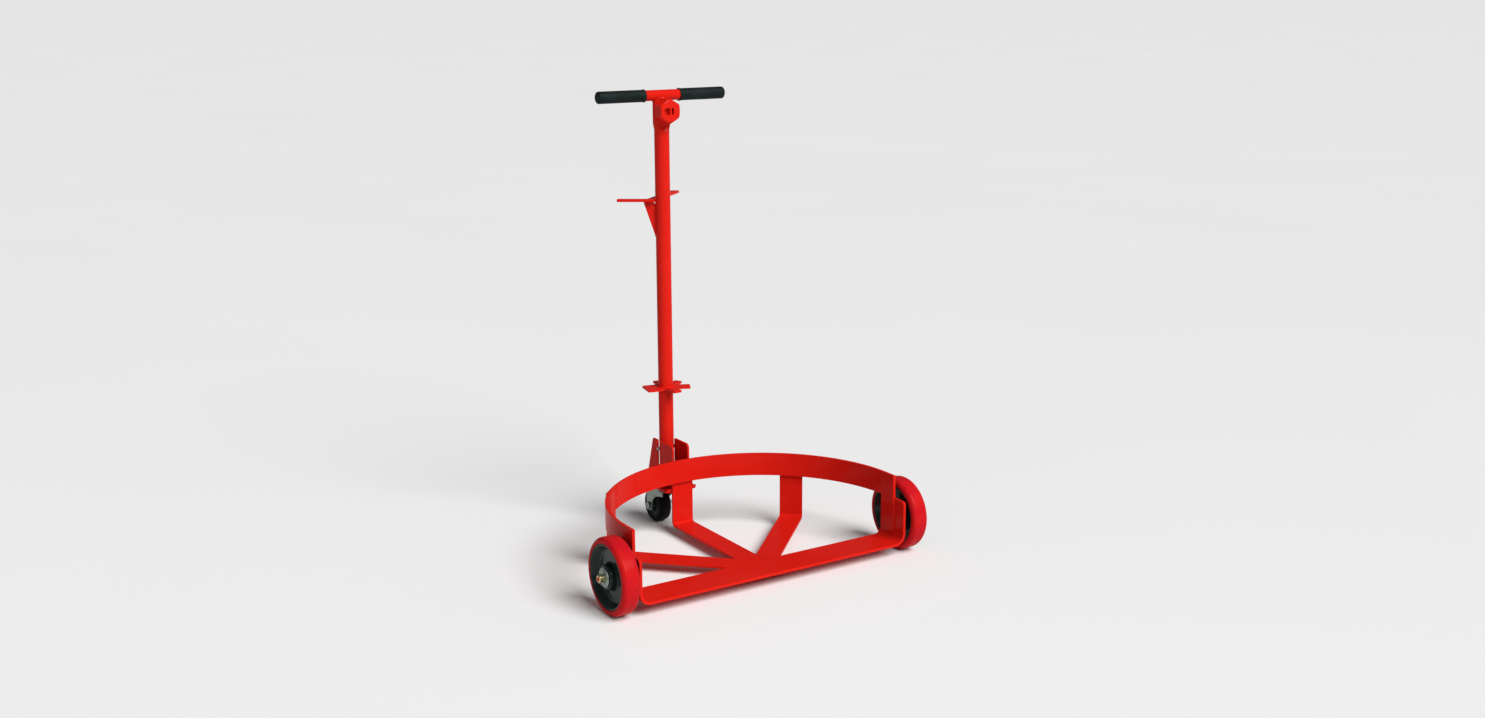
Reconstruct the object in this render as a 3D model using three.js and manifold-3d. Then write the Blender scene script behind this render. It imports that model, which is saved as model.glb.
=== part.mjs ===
// Low-profile drum dolly with a lift-out lever handle.
// Units are millimetres, +Z is up, +Y points to the handle and the wheel axle lies along X.
// Sizes are set out from a point on the floor under the middle of the wheel axle. At the end
// the whole dolly is moved so that its origin is on the floor in the middle of its footprint.

import * as THREE from "three";
import { mergeVertices } from "three/addons/utils/BufferGeometryUtils.js";
import Module from "manifold-3d";

const wasm = await Module();
wasm.setup();

// ---------------------------------------------------------------- driving dimensions

const GAP = 0.3; // air left between two touching pieces
const CUT = 1; // how far a cutter runs past the face it opens
const ROUND_STEPS = 32; // facets round a wheel or a tube
const FINE_STEPS = 16; // facets round a pin or a bolt

// ring band: flat bar bent to a half circle with short straight ends
const STRAP = 6; // thickness of the band and of the front bar
const RING_RADIUS = 305; // inner radius of the band
const RING_Y = 9; // centre of the half circle
const BAND_BOTTOM = 118.2;
const BAND_TOP = 168;
const BAND_END_Y = -23;
const BAND_STEPS = 40;

// front bar: flat strap with both ends bent up into wheel tabs
const BAR_FRONT_Y = -55;
const BAR_REAR_Y = 21;
const BAR_UNDERSIDE = 25;
const BAR_BEND = 18; // inner bend radius
const TAB_TOP = BAND_BOTTOM - GAP;
const TAB_CORNER = 9; // rounded front corner at the top of each tab

// end legs: thin straps under the band's ends, inside the tabs
const LEG_THICK = 3;
const LEG_REAR_Y = 18;

// three bent spokes between the band and the front bar
const SPOKE_WIDTH = 50;
const SPOKE_THICK = 5;
const SPOKE_BEND = 6; // inner bend radius
const SPOKE_TOP = BAR_UNDERSIDE - GAP;
const SPOKE_HEAD = 162; // top of the upright part
const SIDE_SPOKE_ANGLE = 45;
const CENTRE_SPOKE_REACH = 34; // how far it runs forward of the ring's centre

// front wheels
const WHEEL_RADIUS = 76.2;
const WHEEL_WIDTH = 37;
const WHEEL_MID_X = 339.5;
const AXLE_Z = WHEEL_RADIUS;
const AXLE_RADIUS = 8;
const AXLE_END_X = 373.5;
const CORE_RADIUS = 64;
const RIM_WIDTH = 3; // flat lip on each side of the core
const RIM_SLOPE = 8; // how much the dish narrows from its mouth to the web
const WEB_HALF = 4;
const HUB_RADIUS = 25;
const HUB_PROUD = 0.7; // how far the hub stands out of the wheel's sides
const HUB_BORE = 11.4;
const BUSH_OUTER = 11;
const BUSH_HALF = 19.7;
const TREAD_ROUND = 10;
const CORE_INSET = 0.5; // the core's sides stand this far inside the tread's
const HUB_SHOULDER = 2; // chamfer round the end of the hub
const HUB_FLARE = 2; // how much the hub widens towards the web
const HUB_STEP = 5; // length of the chamfer at the hub's end
const AXLE_CHAMFER = 1.5;
const SPACER_RADIUS = 13;
const WASHER_RADIUS = 19;
const WASHER_THICK = 3.5;
const COTTER_X = 367;
const COTTER_RADIUS = 1.6;
const COTTER_EYE = 4; // outer radius of the split pin's eye
const COTTER_WIRE = 1.8; // thickness of the eye's wire
const COTTER_STAND = 2; // how far the eye stands above the axle
const COTTER_TAIL = 5; // how far the pin sticks out below the axle

// handle: round post with a T-bar, held between two ears
const POST_Y = 387.2;
const POST_RADIUS = 15.9;
const POST_WALL = 3;
const FLAT_START_Z = 862; // the post's top is pressed oval above this height
const FLAT_FULL_Z = 880;
const FLAT_HALF_X = 18.8;
const FLAT_HALF_Y = 12;
const T_BAR_Z = 937.8;
const T_BAR_RADIUS = 11.1;
const T_BAR_WALL = 2;
const T_BAR_HALF = 146;
const GRIP_INNER_X = 40.5;
const GRIP_OUTER_X = 150;
const GRIP_RADIUS = 12.6;
const GRIP_COLLAR = 0.9; // how far the collar stands out
const GRIP_COLLAR_WIDTH = 3;
const GRIP_ROUND = 4; // rounding of the outer end

// bracket plate behind the band, and what stands on it
const BRACKET_HALF_X = 38;
const BRACKET_REAR_Y = 440;
const BRACKET_BOTTOM = 95.5;
const BRACKET_TOP = 101.5;
const BRACKET_CORNER = 6;
const EAR_INNER_X = 16.4;
const EAR_THICK = 4.6;
const EAR_TOP = 197.5;
const EAR_TOP_REAR_Y = 411;
const EAR_FOOT_REAR_Y = 438.5;
const EAR_CORNER = 10;
const SLOT_WIDTH = 9.4;
const SLOT_BOTTOM = 140;
const STOP_HEIGHT = 16;
const STOP_THICK = 6;
const PIN_Z = 178.5;
const PIN_RADIUS = 4;
const PIN_HALF = 23;

// swivel caster
const CASTER_Y = 400; // swivel axis
const CASTER_LEAD = 30; // the wheel trails this far behind it
const CASTER_RADIUS = 38;
const CASTER_WIDTH = 31;
const CASTER_CORE_RADIUS = 24;
const CASTER_CORE_RIM = 4;
const CASTER_HUB_RADIUS = 13;
const CASTER_RECESS = 5; // depth of the ring between the hub and the rim
const CASTER_BUSH_OUTER = 7;
const CASTER_TYRE_ROUND = 8;
const CASTER_AXLE_RADIUS = 5;
const CASTER_AXLE_FLATS = 15;
const CASTER_AXLE_NUT = 8;
const CASTER_AXLE_POINT = 3; // how far the bolt stands out of its nut
const CASTER_PLATE_CORNER = 6;
const CASTER_PLATE_HALF_X = 36.5;
const CASTER_PLATE_HALF_Y = 39.5;
const CASTER_PLATE_THICK = 2.7;
const CASTER_BOLT_X = 30;
const CASTER_BOLT_Y = 31;
const BOLT_RADIUS = 3.9;
const NUT_FLATS = 13;
const NUT_HEIGHT = 6;
const HEAD_HEIGHT = 5;
const BOLT_POINT = 3; // how far a plate bolt stands out of its nut
const YOKE_TOP = 84.5;
const YOKE_THICK = 2.8;
const YOKE_HALF_X = 21.8;
const YOKE_REAR = 42; // from the swivel axis back to the fork's rear edge
const YOKE_FRONT = 27;
const YOKE_CORNER = 6; // cut off the top rear corner of each leg
const FORK_END_RADIUS = 11.5;
const KINGPIN_RADIUS = 7;
const KINGPIN_HEAD = 5;
const KINGPIN_LIP = 3; // how far the head is wider than the pin
const RACE_RADIUS = 25;
const RACE_TAPER = 4;

// tools carried on the post
const STAR_TOP = 316;
const STAR_THICK = 5;
const STAR_HUB = 22;
const STAR_LOBES = [
  { angle: 169, reach: 48, width: 46 },
  { angle: 80, reach: 58, width: 20 },
  { angle: 30, reach: 58, width: 18 },
  { angle: -25, reach: 55, width: 24 },
  { angle: -88, reach: 52, width: 20 },
];
const HOOK_TOP = 723;
const HOOK_THICK = 5.5;
const HOOK_OUTLINE = [
  [-25.3, -4.3],
  [99, 100],
  [84, 110],
  [-30.4, 13.6],
  [-82.3, 48.9],
  [-89, 39],
];
const GUSSET_ANGLE = 152;
const GUSSET_REACH = 40;
const GUSSET_DROP = 76;
const GUSSET_THICK = 5;
const GUSSET_SNIPE = 5;
const GUSSET_TIP = 3; // depth of its outer edge
const HEX_FLATS = 45;
const HEX_Z = 906.5;
const HEX_FRONT_Y = 348.5;
const HEX_REAR_Y = 376;
const HEX_POCKET_DEPTH = 16;
const HEX_POCKETS = [
  { x: -8.2, width: 14, height: 13.5 },
  { x: 5, width: 5.4, height: 14 },
];

// ---------------------------------------------------------------- materials

function finish(color, roughness, metalness) {
  return new THREE.MeshStandardMaterial({ color, roughness, metalness });
}

const RED_PAINT = finish(0xe5251c, 0.25, 0.0);
const RED_TREAD = finish(0xdd2a1a, 0.35, 0.0);
const CAST_CORE = finish(0x2a3432, 0.5, 0.6);
const BLACK_RUBBER = finish(0x1c2426, 0.7, 0.0);
const CASTER_TYRE = finish(0x131516, 0.6, 0.0);
const ZINC_STEEL = finish(0x7c8583, 0.4, 0.9);
const YELLOW_ZINC = finish(0xa08a5a, 0.4, 0.9);

// ---------------------------------------------------------------- solids and cuts

function toSolid(geometry) {
  const bare = geometry.index ? geometry.toNonIndexed() : geometry.clone();
  bare.deleteAttribute("normal");
  bare.deleteAttribute("uv");
  const merged = mergeVertices(bare, 1e-4);
  return new wasm.Manifold(
    new wasm.Mesh({
      numProp: 3,
      vertProperties: new Float32Array(merged.attributes.position.array),
      triVerts: new Uint32Array(merged.index.array),
    }),
  );
}

function toGeometry(solid) {
  const mesh = solid.getMesh();
  const geometry = new THREE.BufferGeometry();
  geometry.setAttribute("position", new THREE.BufferAttribute(mesh.vertProperties, 3));
  geometry.setIndex(new THREE.BufferAttribute(mesh.triVerts, 1));
  geometry.computeVertexNormals();
  return geometry;
}

function join(first, ...others) {
  let solid = toSolid(first);
  for (const other of others) {
    solid = solid.add(toSolid(other));
  }
  return toGeometry(solid);
}

function cut(first, ...cutters) {
  let solid = toSolid(first);
  for (const cutter of cutters) {
    solid = solid.subtract(toSolid(cutter));
  }
  return toGeometry(solid);
}

// ---------------------------------------------------------------- basic forms

function block(x0, x1, y0, y1, z0, z1) {
  const geometry = new THREE.BoxGeometry(x1 - x0, y1 - y0, z1 - z0);
  return geometry.translate((x0 + x1) / 2, (y0 + y1) / 2, (z0 + z1) / 2);
}

function rodX(radius, x0, x1, y, z, steps = ROUND_STEPS) {
  const geometry = new THREE.CylinderGeometry(radius, radius, x1 - x0, steps);
  return geometry.rotateZ(Math.PI / 2).translate((x0 + x1) / 2, y, z);
}

function rodZ(radius, z0, z1, x, y, steps = ROUND_STEPS) {
  const geometry = new THREE.CylinderGeometry(radius, radius, z1 - z0, steps);
  return geometry.rotateX(Math.PI / 2).translate(x, y, (z0 + z1) / 2);
}

// A profile of [radius, distance along X] turned about the X axis.
function turnedX(profile, steps = ROUND_STEPS) {
  const points = profile.map(([radius, along]) => new THREE.Vector2(radius, along));
  const geometry = new THREE.LatheGeometry(points, steps);
  return geometry.rotateZ(-Math.PI / 2);
}

function ringProfile(inner, outer, start, end) {
  return [
    [inner, start],
    [outer, start],
    [outer, end],
    [inner, end],
    [inner, start],
  ];
}

function extrude(shape, depth, curveSegments = 6) {
  return new THREE.ExtrudeGeometry(shape, { depth, bevelEnabled: false, curveSegments });
}

// An outline in the XY plane given a thickness upwards from z0.
function plate(shape, z0, thickness, curveSegments) {
  return extrude(shape, thickness, curveSegments).translate(0, 0, z0);
}

// An outline drawn in (x, z) and given a width along Y, from y0 to y0 + width.
function slabAlongY(shape, y0, width, curveSegments) {
  return extrude(shape, width, curveSegments).rotateX(Math.PI / 2).translate(0, y0 + width, 0);
}

// An outline drawn in (y, z) and given a thickness along X, from x0 to x0 + width.
function slabAlongX(shape, x0, width, curveSegments) {
  const geometry = extrude(shape, width, curveSegments).rotateX(Math.PI / 2);
  return geometry.rotateZ(Math.PI / 2).translate(x0, 0, 0);
}

function roundedRectangle(x0, x1, y0, y1, radius) {
  const shape = new THREE.Shape();
  shape.moveTo(x0 + radius, y0);
  shape.lineTo(x1 - radius, y0);
  shape.absarc(x1 - radius, y0 + radius, radius, -Math.PI / 2, 0);
  shape.lineTo(x1, y1 - radius);
  shape.absarc(x1 - radius, y1 - radius, radius, 0, Math.PI / 2);
  shape.lineTo(x0 + radius, y1);
  shape.absarc(x0 + radius, y1 - radius, radius, Math.PI / 2, Math.PI);
  shape.lineTo(x0, y0 + radius);
  shape.absarc(x0 + radius, y0 + radius, radius, Math.PI, Math.PI * 1.5);
  return shape;
}

function outline(points) {
  return new THREE.Shape(points.map(([x, y]) => new THREE.Vector2(x, y)));
}

function hexagon(flats, turn = 0) {
  const corner = flats / Math.sqrt(3);
  const points = [];
  for (let i = 0; i < 6; i += 1) {
    const angle = turn + (i * Math.PI) / 3;
    points.push([corner * Math.cos(angle), corner * Math.sin(angle)]);
  }
  return outline(points);
}

function rad(degrees) {
  return THREE.MathUtils.degToRad(degrees);
}

const assembly = new THREE.Group();

function add(name, geometry, material, parent = assembly) {
  const mesh = new THREE.Mesh(geometry, material);
  mesh.name = name;
  parent.add(mesh);
  return mesh;
}

// ---------------------------------------------------------------- base frame

const RING_OUTER = RING_RADIUS + STRAP;
const TAB_INNER = RING_RADIUS + LEG_THICK + GAP;
const TAB_OUTER = TAB_INNER + STRAP;
const SIDES = [
  { name: "left", sign: -1 },
  { name: "right", sign: 1 },
];

function ringBand() {
  const shape = new THREE.Shape();
  shape.moveTo(RING_OUTER, BAND_END_Y);
  shape.lineTo(RING_OUTER, RING_Y);
  shape.absarc(0, RING_Y, RING_OUTER, 0, Math.PI);
  shape.lineTo(-RING_OUTER, BAND_END_Y);
  shape.lineTo(-RING_RADIUS, BAND_END_Y);
  shape.lineTo(-RING_RADIUS, RING_Y);
  shape.absarc(0, RING_Y, RING_RADIUS, Math.PI, 0, true);
  shape.lineTo(RING_RADIUS, BAND_END_Y);
  return plate(shape, BAND_BOTTOM, BAND_TOP - BAND_BOTTOM, BAND_STEPS);
}

// The bar seen from the front: a wide flat U with rounded bends.
function frontBarProfile() {
  const outerBend = BAR_BEND + STRAP;
  const bendX = TAB_INNER - BAR_BEND;
  const floor = BAR_UNDERSIDE + STRAP;
  const bendZ = floor + BAR_BEND;
  const shape = new THREE.Shape();
  shape.moveTo(-TAB_OUTER, TAB_TOP);
  shape.lineTo(-TAB_OUTER, bendZ);
  shape.absarc(-bendX, bendZ, outerBend, Math.PI, Math.PI * 1.5);
  shape.lineTo(bendX, BAR_UNDERSIDE);
  shape.absarc(bendX, bendZ, outerBend, -Math.PI / 2, 0);
  shape.lineTo(TAB_OUTER, TAB_TOP);
  shape.lineTo(TAB_INNER, TAB_TOP);
  shape.lineTo(TAB_INNER, bendZ);
  shape.absarc(bendX, bendZ, BAR_BEND, 0, -Math.PI / 2, true);
  shape.lineTo(-bendX, floor);
  shape.absarc(-bendX, bendZ, BAR_BEND, Math.PI * 1.5, Math.PI, true);
  shape.lineTo(-TAB_INNER, TAB_TOP);
  return shape;
}

// What is taken off a tab to round its top front corner.
function tabCornerCutter() {
  const y = BAR_FRONT_Y + TAB_CORNER;
  const z = TAB_TOP - TAB_CORNER;
  const shape = new THREE.Shape();
  shape.moveTo(BAR_FRONT_Y - CUT, TAB_TOP + CUT);
  shape.lineTo(BAR_FRONT_Y - CUT, z);
  shape.lineTo(BAR_FRONT_Y, z);
  shape.absarc(y, z, TAB_CORNER, Math.PI, Math.PI / 2, true);
  shape.lineTo(y, TAB_TOP + CUT);
  return slabAlongX(shape, -TAB_OUTER - CUT, 2 * (TAB_OUTER + CUT), 5);
}

function frontBar() {
  const bar = slabAlongY(frontBarProfile(), BAR_FRONT_Y, BAR_REAR_Y - BAR_FRONT_Y, 6);
  const axleHoles = rodX(AXLE_RADIUS + GAP, -TAB_OUTER - CUT, TAB_OUTER + CUT, 0, AXLE_Z);
  return cut(bar, tabCornerCutter(), axleHoles);
}

// Height of the bar's inner surface in its bend, at a distance x from the middle.
function bendSurface(x) {
  const along = x - (TAB_INNER - BAR_BEND);
  return BAR_UNDERSIDE + STRAP + BAR_BEND - Math.sqrt(BAR_BEND ** 2 - along ** 2);
}

// A strap that stands in the bar's bend and carries the band's end.
function endLeg(sign) {
  const inner = RING_RADIUS;
  const outer = inner + LEG_THICK;
  const shape = outline([
    [inner, bendSurface(inner) + 2 * GAP],
    [outer, bendSurface(outer) + 2 * GAP],
    [outer, TAB_TOP],
    [inner, TAB_TOP],
  ]);
  const leg = slabAlongY(shape, BAND_END_Y, LEG_REAR_Y - BAND_END_Y);
  return sign > 0 ? leg : leg.rotateZ(Math.PI).translate(0, BAND_END_Y + LEG_REAR_Y, 0);
}

// An L of flat strap in its own (distance from the ring's centre, height) plane.
function spokeProfile(start) {
  const face = RING_OUTER + GAP;
  const back = face + SPOKE_THICK;
  const under = SPOKE_TOP - SPOKE_THICK;
  const outerBend = SPOKE_BEND + SPOKE_THICK;
  const shape = new THREE.Shape();
  shape.moveTo(start, under);
  shape.lineTo(back - outerBend, under);
  shape.absarc(back - outerBend, under + outerBend, outerBend, -Math.PI / 2, 0);
  shape.lineTo(back, SPOKE_HEAD);
  shape.lineTo(face, SPOKE_HEAD);
  shape.lineTo(face, SPOKE_TOP + SPOKE_BEND);
  shape.absarc(face - SPOKE_BEND, SPOKE_TOP + SPOKE_BEND, SPOKE_BEND, 0, -Math.PI / 2, true);
  shape.lineTo(start, SPOKE_TOP);
  return shape;
}

function spoke(angle, start) {
  const strap = slabAlongY(spokeProfile(start), -SPOKE_WIDTH / 2, SPOKE_WIDTH);
  return strap.rotateZ(rad(angle)).translate(0, RING_Y, 0);
}

// A side spoke ends against the side of the centre spoke.
function sideSpoke(sign) {
  const angle = sign > 0 ? SIDE_SPOKE_ANGLE : 180 - SIDE_SPOKE_ANGLE;
  const edge = SPOKE_WIDTH / 2 + GAP;
  const far = RING_OUTER;
  const x0 = sign > 0 ? -far : -edge;
  const x1 = sign > 0 ? edge : far;
  const trim = block(x0, x1, -far, far, SPOKE_TOP - SPOKE_THICK - CUT, SPOKE_TOP + CUT);
  return cut(spoke(angle, 0), trim);
}

function addBase() {
  add("ring_band", ringBand(), RED_PAINT);
  add("front_bar", frontBar(), RED_PAINT);
  add("centre_spoke", spoke(90, -CENTRE_SPOKE_REACH), RED_PAINT);
  for (const { name, sign } of SIDES) {
    add(`${name}_end_leg`, endLeg(sign), RED_PAINT);
    add(`${name}_spoke`, sideSpoke(sign), RED_PAINT);
  }
}

// ---------------------------------------------------------------- bracket behind the band

const LEG_BACK_Y = RING_Y + RING_OUTER + GAP + SPOKE_THICK; // back of the centre spoke's upright

function casterBoltPlaces() {
  const places = [];
  for (const x of [-CASTER_BOLT_X, CASTER_BOLT_X]) {
    for (const y of [CASTER_Y - CASTER_BOLT_Y, CASTER_Y + CASTER_BOLT_Y]) {
      places.push({ x, y });
    }
  }
  return places;
}

function boltHoles(z0, z1) {
  return casterBoltPlaces().map(({ x, y }) => rodZ(BOLT_RADIUS + GAP, z0, z1, x, y, FINE_STEPS));
}

function bracketPlate() {
  const front = LEG_BACK_Y + GAP;
  const half = BRACKET_HALF_X;
  const shape = roundedRectangle(-half, half, front, BRACKET_REAR_Y, BRACKET_CORNER);
  const flat = plate(shape, BRACKET_BOTTOM, BRACKET_TOP - BRACKET_BOTTOM, 5);
  return cut(flat, ...boltHoles(BRACKET_BOTTOM - CUT, BRACKET_TOP + CUT));
}

// A side plate with a slot open at the top, in which the handle's cross pin slides.
function ear(x0) {
  const front = LEG_BACK_Y + GAP;
  const foot = BRACKET_TOP + GAP;
  const slotFront = POST_Y - SLOT_WIDTH / 2;
  const slotRear = POST_Y + SLOT_WIDTH / 2;
  const shape = new THREE.Shape();
  shape.moveTo(front, foot);
  shape.lineTo(EAR_FOOT_REAR_Y, foot);
  shape.lineTo(EAR_TOP_REAR_Y, EAR_TOP);
  shape.lineTo(slotRear, EAR_TOP);
  shape.lineTo(slotRear, SLOT_BOTTOM + SLOT_WIDTH / 2);
  shape.absarc(POST_Y, SLOT_BOTTOM + SLOT_WIDTH / 2, SLOT_WIDTH / 2, 0, -Math.PI, true);
  shape.lineTo(slotFront, EAR_TOP);
  shape.lineTo(front + EAR_CORNER, EAR_TOP);
  shape.absarc(front + EAR_CORNER, EAR_TOP - EAR_CORNER, EAR_CORNER, Math.PI / 2, Math.PI);
  return slabAlongX(shape, x0, EAR_THICK, 6);
}

// A bar between the ears that keeps the post's foot from swinging out.
function footStop(y0) {
  const half = EAR_INNER_X - GAP;
  const foot = BRACKET_TOP + GAP;
  return block(-half, half, y0, y0 + STOP_THICK, foot, foot + STOP_HEIGHT);
}

function addBracket() {
  const reach = POST_RADIUS + 2 * GAP;
  add("bracket_plate", bracketPlate(), RED_PAINT);
  add("left_ear", ear(-EAR_INNER_X - EAR_THICK), RED_PAINT);
  add("right_ear", ear(EAR_INNER_X), RED_PAINT);
  add("front_foot_stop", footStop(POST_Y - reach - STOP_THICK), RED_PAINT);
  add("rear_foot_stop", footStop(POST_Y + reach), RED_PAINT);
}

// ---------------------------------------------------------------- front wheels

// A wheel's core: hub boss, web at the bottom of a dish on each side, and wide rim.
function wheelCore() {
  const rim = WHEEL_WIDTH / 2 - CORE_INSET;
  const hub = WHEEL_WIDTH / 2 + HUB_PROUD;
  const hubEdge = HUB_RADIUS - HUB_SHOULDER;
  const hubFoot = HUB_RADIUS + HUB_FLARE;
  const mouth = CORE_RADIUS - RIM_WIDTH;
  const foot = mouth - RIM_SLOPE;
  return turnedX([
    [HUB_BORE, -hub],
    [hubEdge, -hub],
    [HUB_RADIUS, -hub + HUB_STEP],
    [hubFoot, -WEB_HALF],
    [foot, -WEB_HALF],
    [mouth, -rim],
    [CORE_RADIUS, -rim],
    [CORE_RADIUS, rim],
    [mouth, rim],
    [foot, WEB_HALF],
    [hubFoot, WEB_HALF],
    [HUB_RADIUS, hub - HUB_STEP],
    [hubEdge, hub],
    [HUB_BORE, hub],
    [HUB_BORE, -hub],
  ]);
}

// A tread ring with rounded shoulders.
function treadRing(inner, outer, width, round) {
  const half = width / 2;
  const steps = 4;
  const profile = [[inner, -half]];
  for (let i = 0; i <= steps; i += 1) {
    const angle = ((i / steps) * Math.PI) / 2;
    const radius = outer - round + round * Math.sin(angle);
    profile.push([radius, -half + round - round * Math.cos(angle)]);
  }
  for (let i = 0; i <= steps; i += 1) {
    const angle = (1 - i / steps) * (Math.PI / 2);
    const radius = outer - round + round * Math.sin(angle);
    profile.push([radius, half - round + round * Math.cos(angle)]);
  }
  profile.push([inner, half], [inner, -half]);
  return turnedX(profile, 40);
}

function axle() {
  const turned = turnedX(
    [
      [0, TAB_INNER],
      [AXLE_RADIUS, TAB_INNER],
      [AXLE_RADIUS, AXLE_END_X - AXLE_CHAMFER],
      [AXLE_RADIUS - AXLE_CHAMFER, AXLE_END_X],
      [0, AXLE_END_X],
    ],
    FINE_STEPS,
  );
  const reach = AXLE_RADIUS + CUT;
  return cut(turned, rodZ(COTTER_RADIUS + GAP, -reach, reach, COTTER_X, 0, 8));
}

// A split pin: a shank through the axle with its eye on top.
function cotterPin() {
  const shankTop = AXLE_RADIUS + COTTER_STAND;
  const shank = rodZ(COTTER_RADIUS, -AXLE_RADIUS - COTTER_TAIL, shankTop + COTTER_WIRE, 0, 0, 8);
  const wire = COTTER_RADIUS - GAP;
  const loop = turnedX(ringProfile(COTTER_EYE - COTTER_WIRE, COTTER_EYE, -wire, wire), 14);
  loop.translate(0, 0, shankTop + COTTER_EYE);
  return join(shank, loop);
}

// One wheel's pieces are drawn as on the right and turned half a turn about Z for the left.
function addFrontWheel(name, sign) {
  const corner = new THREE.Group();
  corner.position.set(0, 0, AXLE_Z);
  corner.rotation.z = sign > 0 ? 0 : Math.PI;
  assembly.add(corner);
  const put = (label, geometry, material) => add(`${name}_${label}`, geometry, material, corner);

  const bush = turnedX(ringProfile(AXLE_RADIUS + GAP, BUSH_OUTER, -BUSH_HALF, BUSH_HALF), 20);
  const tabFace = TAB_OUTER + GAP;
  const bushInner = WHEEL_MID_X - BUSH_HALF - GAP;
  const bushOuter = WHEEL_MID_X + BUSH_HALF + GAP;
  put("axle", axle(), YELLOW_ZINC);
  const spacer = ringProfile(AXLE_RADIUS + GAP, SPACER_RADIUS, tabFace, bushInner);
  put("spacer", turnedX(spacer, 20), ZINC_STEEL);
  put("wheel_core", wheelCore().translate(WHEEL_MID_X, 0, 0), CAST_CORE);
  const tread = treadRing(CORE_RADIUS + GAP, WHEEL_RADIUS, WHEEL_WIDTH, TREAD_ROUND);
  put("wheel_tread", tread.translate(WHEEL_MID_X, 0, 0), RED_TREAD);
  put("wheel_bush", bush.translate(WHEEL_MID_X, 0, 0), YELLOW_ZINC);
  const washerFace = bushOuter + WASHER_THICK;
  const washer = ringProfile(AXLE_RADIUS + GAP, WASHER_RADIUS, bushOuter, washerFace);
  put("axle_washer", turnedX(washer, 24), ZINC_STEEL);
  put("cotter_pin", cotterPin().translate(COTTER_X, 0, 0), YELLOW_ZINC);
}

// ---------------------------------------------------------------- swivel caster

const CASTER_PLATE_TOP = BRACKET_BOTTOM - GAP;
const CASTER_PLATE_BOTTOM = CASTER_PLATE_TOP - CASTER_PLATE_THICK;

function casterTopPlate() {
  const shape = roundedRectangle(
    -CASTER_PLATE_HALF_X,
    CASTER_PLATE_HALF_X,
    CASTER_Y - CASTER_PLATE_HALF_Y,
    CASTER_Y + CASTER_PLATE_HALF_Y,
    CASTER_PLATE_CORNER,
  );
  const flat = plate(shape, CASTER_PLATE_BOTTOM, CASTER_PLATE_THICK, 3);
  const low = CASTER_PLATE_BOTTOM - CUT;
  const high = CASTER_PLATE_TOP + CUT;
  const pinHole = rodZ(KINGPIN_RADIUS + GAP, low, high, 0, CASTER_Y, FINE_STEPS);
  const holes = boltHoles(low, high);
  return cut(flat, pinHole, ...holes);
}

// The fixed half of the ball race, under the top plate.
function casterRace() {
  const top = CASTER_PLATE_BOTTOM - GAP;
  const bottom = YOKE_TOP + GAP;
  const bore = KINGPIN_RADIUS + GAP;
  const profile = [
    [bore, bottom],
    [RACE_RADIUS, bottom],
    [RACE_RADIUS - RACE_TAPER, top],
    [bore, top],
    [bore, bottom],
  ];
  return turnedX(profile, 24).rotateY(-Math.PI / 2).translate(0, CASTER_Y, 0);
}

function casterKingpin() {
  const head = YOKE_TOP - YOKE_THICK - GAP;
  const lip = KINGPIN_RADIUS + KINGPIN_LIP;
  const profile = [
    [0, head - KINGPIN_HEAD],
    [lip, head - KINGPIN_HEAD],
    [lip, head],
    [KINGPIN_RADIUS, head],
    [KINGPIN_RADIUS, CASTER_PLATE_TOP],
    [0, CASTER_PLATE_TOP],
  ];
  return turnedX(profile, FINE_STEPS).rotateY(-Math.PI / 2).translate(0, CASTER_Y, 0);
}

function forkLegShape() {
  const axleY = CASTER_Y + CASTER_LEAD;
  const rear = CASTER_Y + YOKE_REAR;
  const lift = 4; // the front edge meets the rounded end a little above the axle
  const shape = new THREE.Shape();
  shape.moveTo(CASTER_Y - YOKE_FRONT, YOKE_TOP);
  shape.lineTo(CASTER_Y - YOKE_FRONT, YOKE_TOP - 10);
  shape.lineTo(axleY - FORK_END_RADIUS, CASTER_RADIUS + lift);
  shape.absarc(axleY, CASTER_RADIUS, FORK_END_RADIUS, Math.PI * 0.9, Math.PI * 2);
  shape.lineTo(rear, YOKE_TOP - 12);
  shape.lineTo(rear - YOKE_CORNER, YOKE_TOP);
  return shape;
}

function casterYoke() {
  const leg = forkLegShape();
  const left = slabAlongX(leg, -YOKE_HALF_X, YOKE_THICK, 6);
  const right = slabAlongX(leg, YOKE_HALF_X - YOKE_THICK, YOKE_THICK, 6);
  const front = CASTER_Y - YOKE_FRONT;
  const rear = CASTER_Y + YOKE_REAR - YOKE_CORNER;
  const crown = block(-YOKE_HALF_X, YOKE_HALF_X, front, rear, YOKE_TOP - YOKE_THICK, YOKE_TOP);
  const low = YOKE_TOP - YOKE_THICK - CUT;
  const pinHole = rodZ(KINGPIN_RADIUS + GAP, low, YOKE_TOP + CUT, 0, CASTER_Y, FINE_STEPS);
  const axleY = CASTER_Y + CASTER_LEAD;
  const reach = YOKE_HALF_X + CUT;
  const axleHole = rodX(CASTER_AXLE_RADIUS + GAP, -reach, reach, axleY, CASTER_RADIUS, 12);
  return cut(join(crown, left, right), pinHole, axleHole);
}

// Bolt with its hexagon head below and its shank up through both plates and the nut.
function plateBolt(x, y) {
  const headTop = CASTER_PLATE_BOTTOM - GAP;
  const head = plate(hexagon(NUT_FLATS), headTop - HEAD_HEIGHT, HEAD_HEIGHT);
  const shankTop = BRACKET_TOP + GAP + NUT_HEIGHT + BOLT_POINT;
  const shank = rodZ(BOLT_RADIUS, headTop - CUT, shankTop, 0, 0, 12);
  return join(head, shank).translate(x, y, 0);
}

function plateNut(x, y) {
  const z0 = BRACKET_TOP + GAP;
  const nut = plate(hexagon(NUT_FLATS), z0, NUT_HEIGHT);
  const hole = rodZ(BOLT_RADIUS + GAP, z0 - CUT, z0 + NUT_HEIGHT + CUT, 0, 0, 12);
  return cut(nut, hole).translate(x, y, 0);
}

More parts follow.
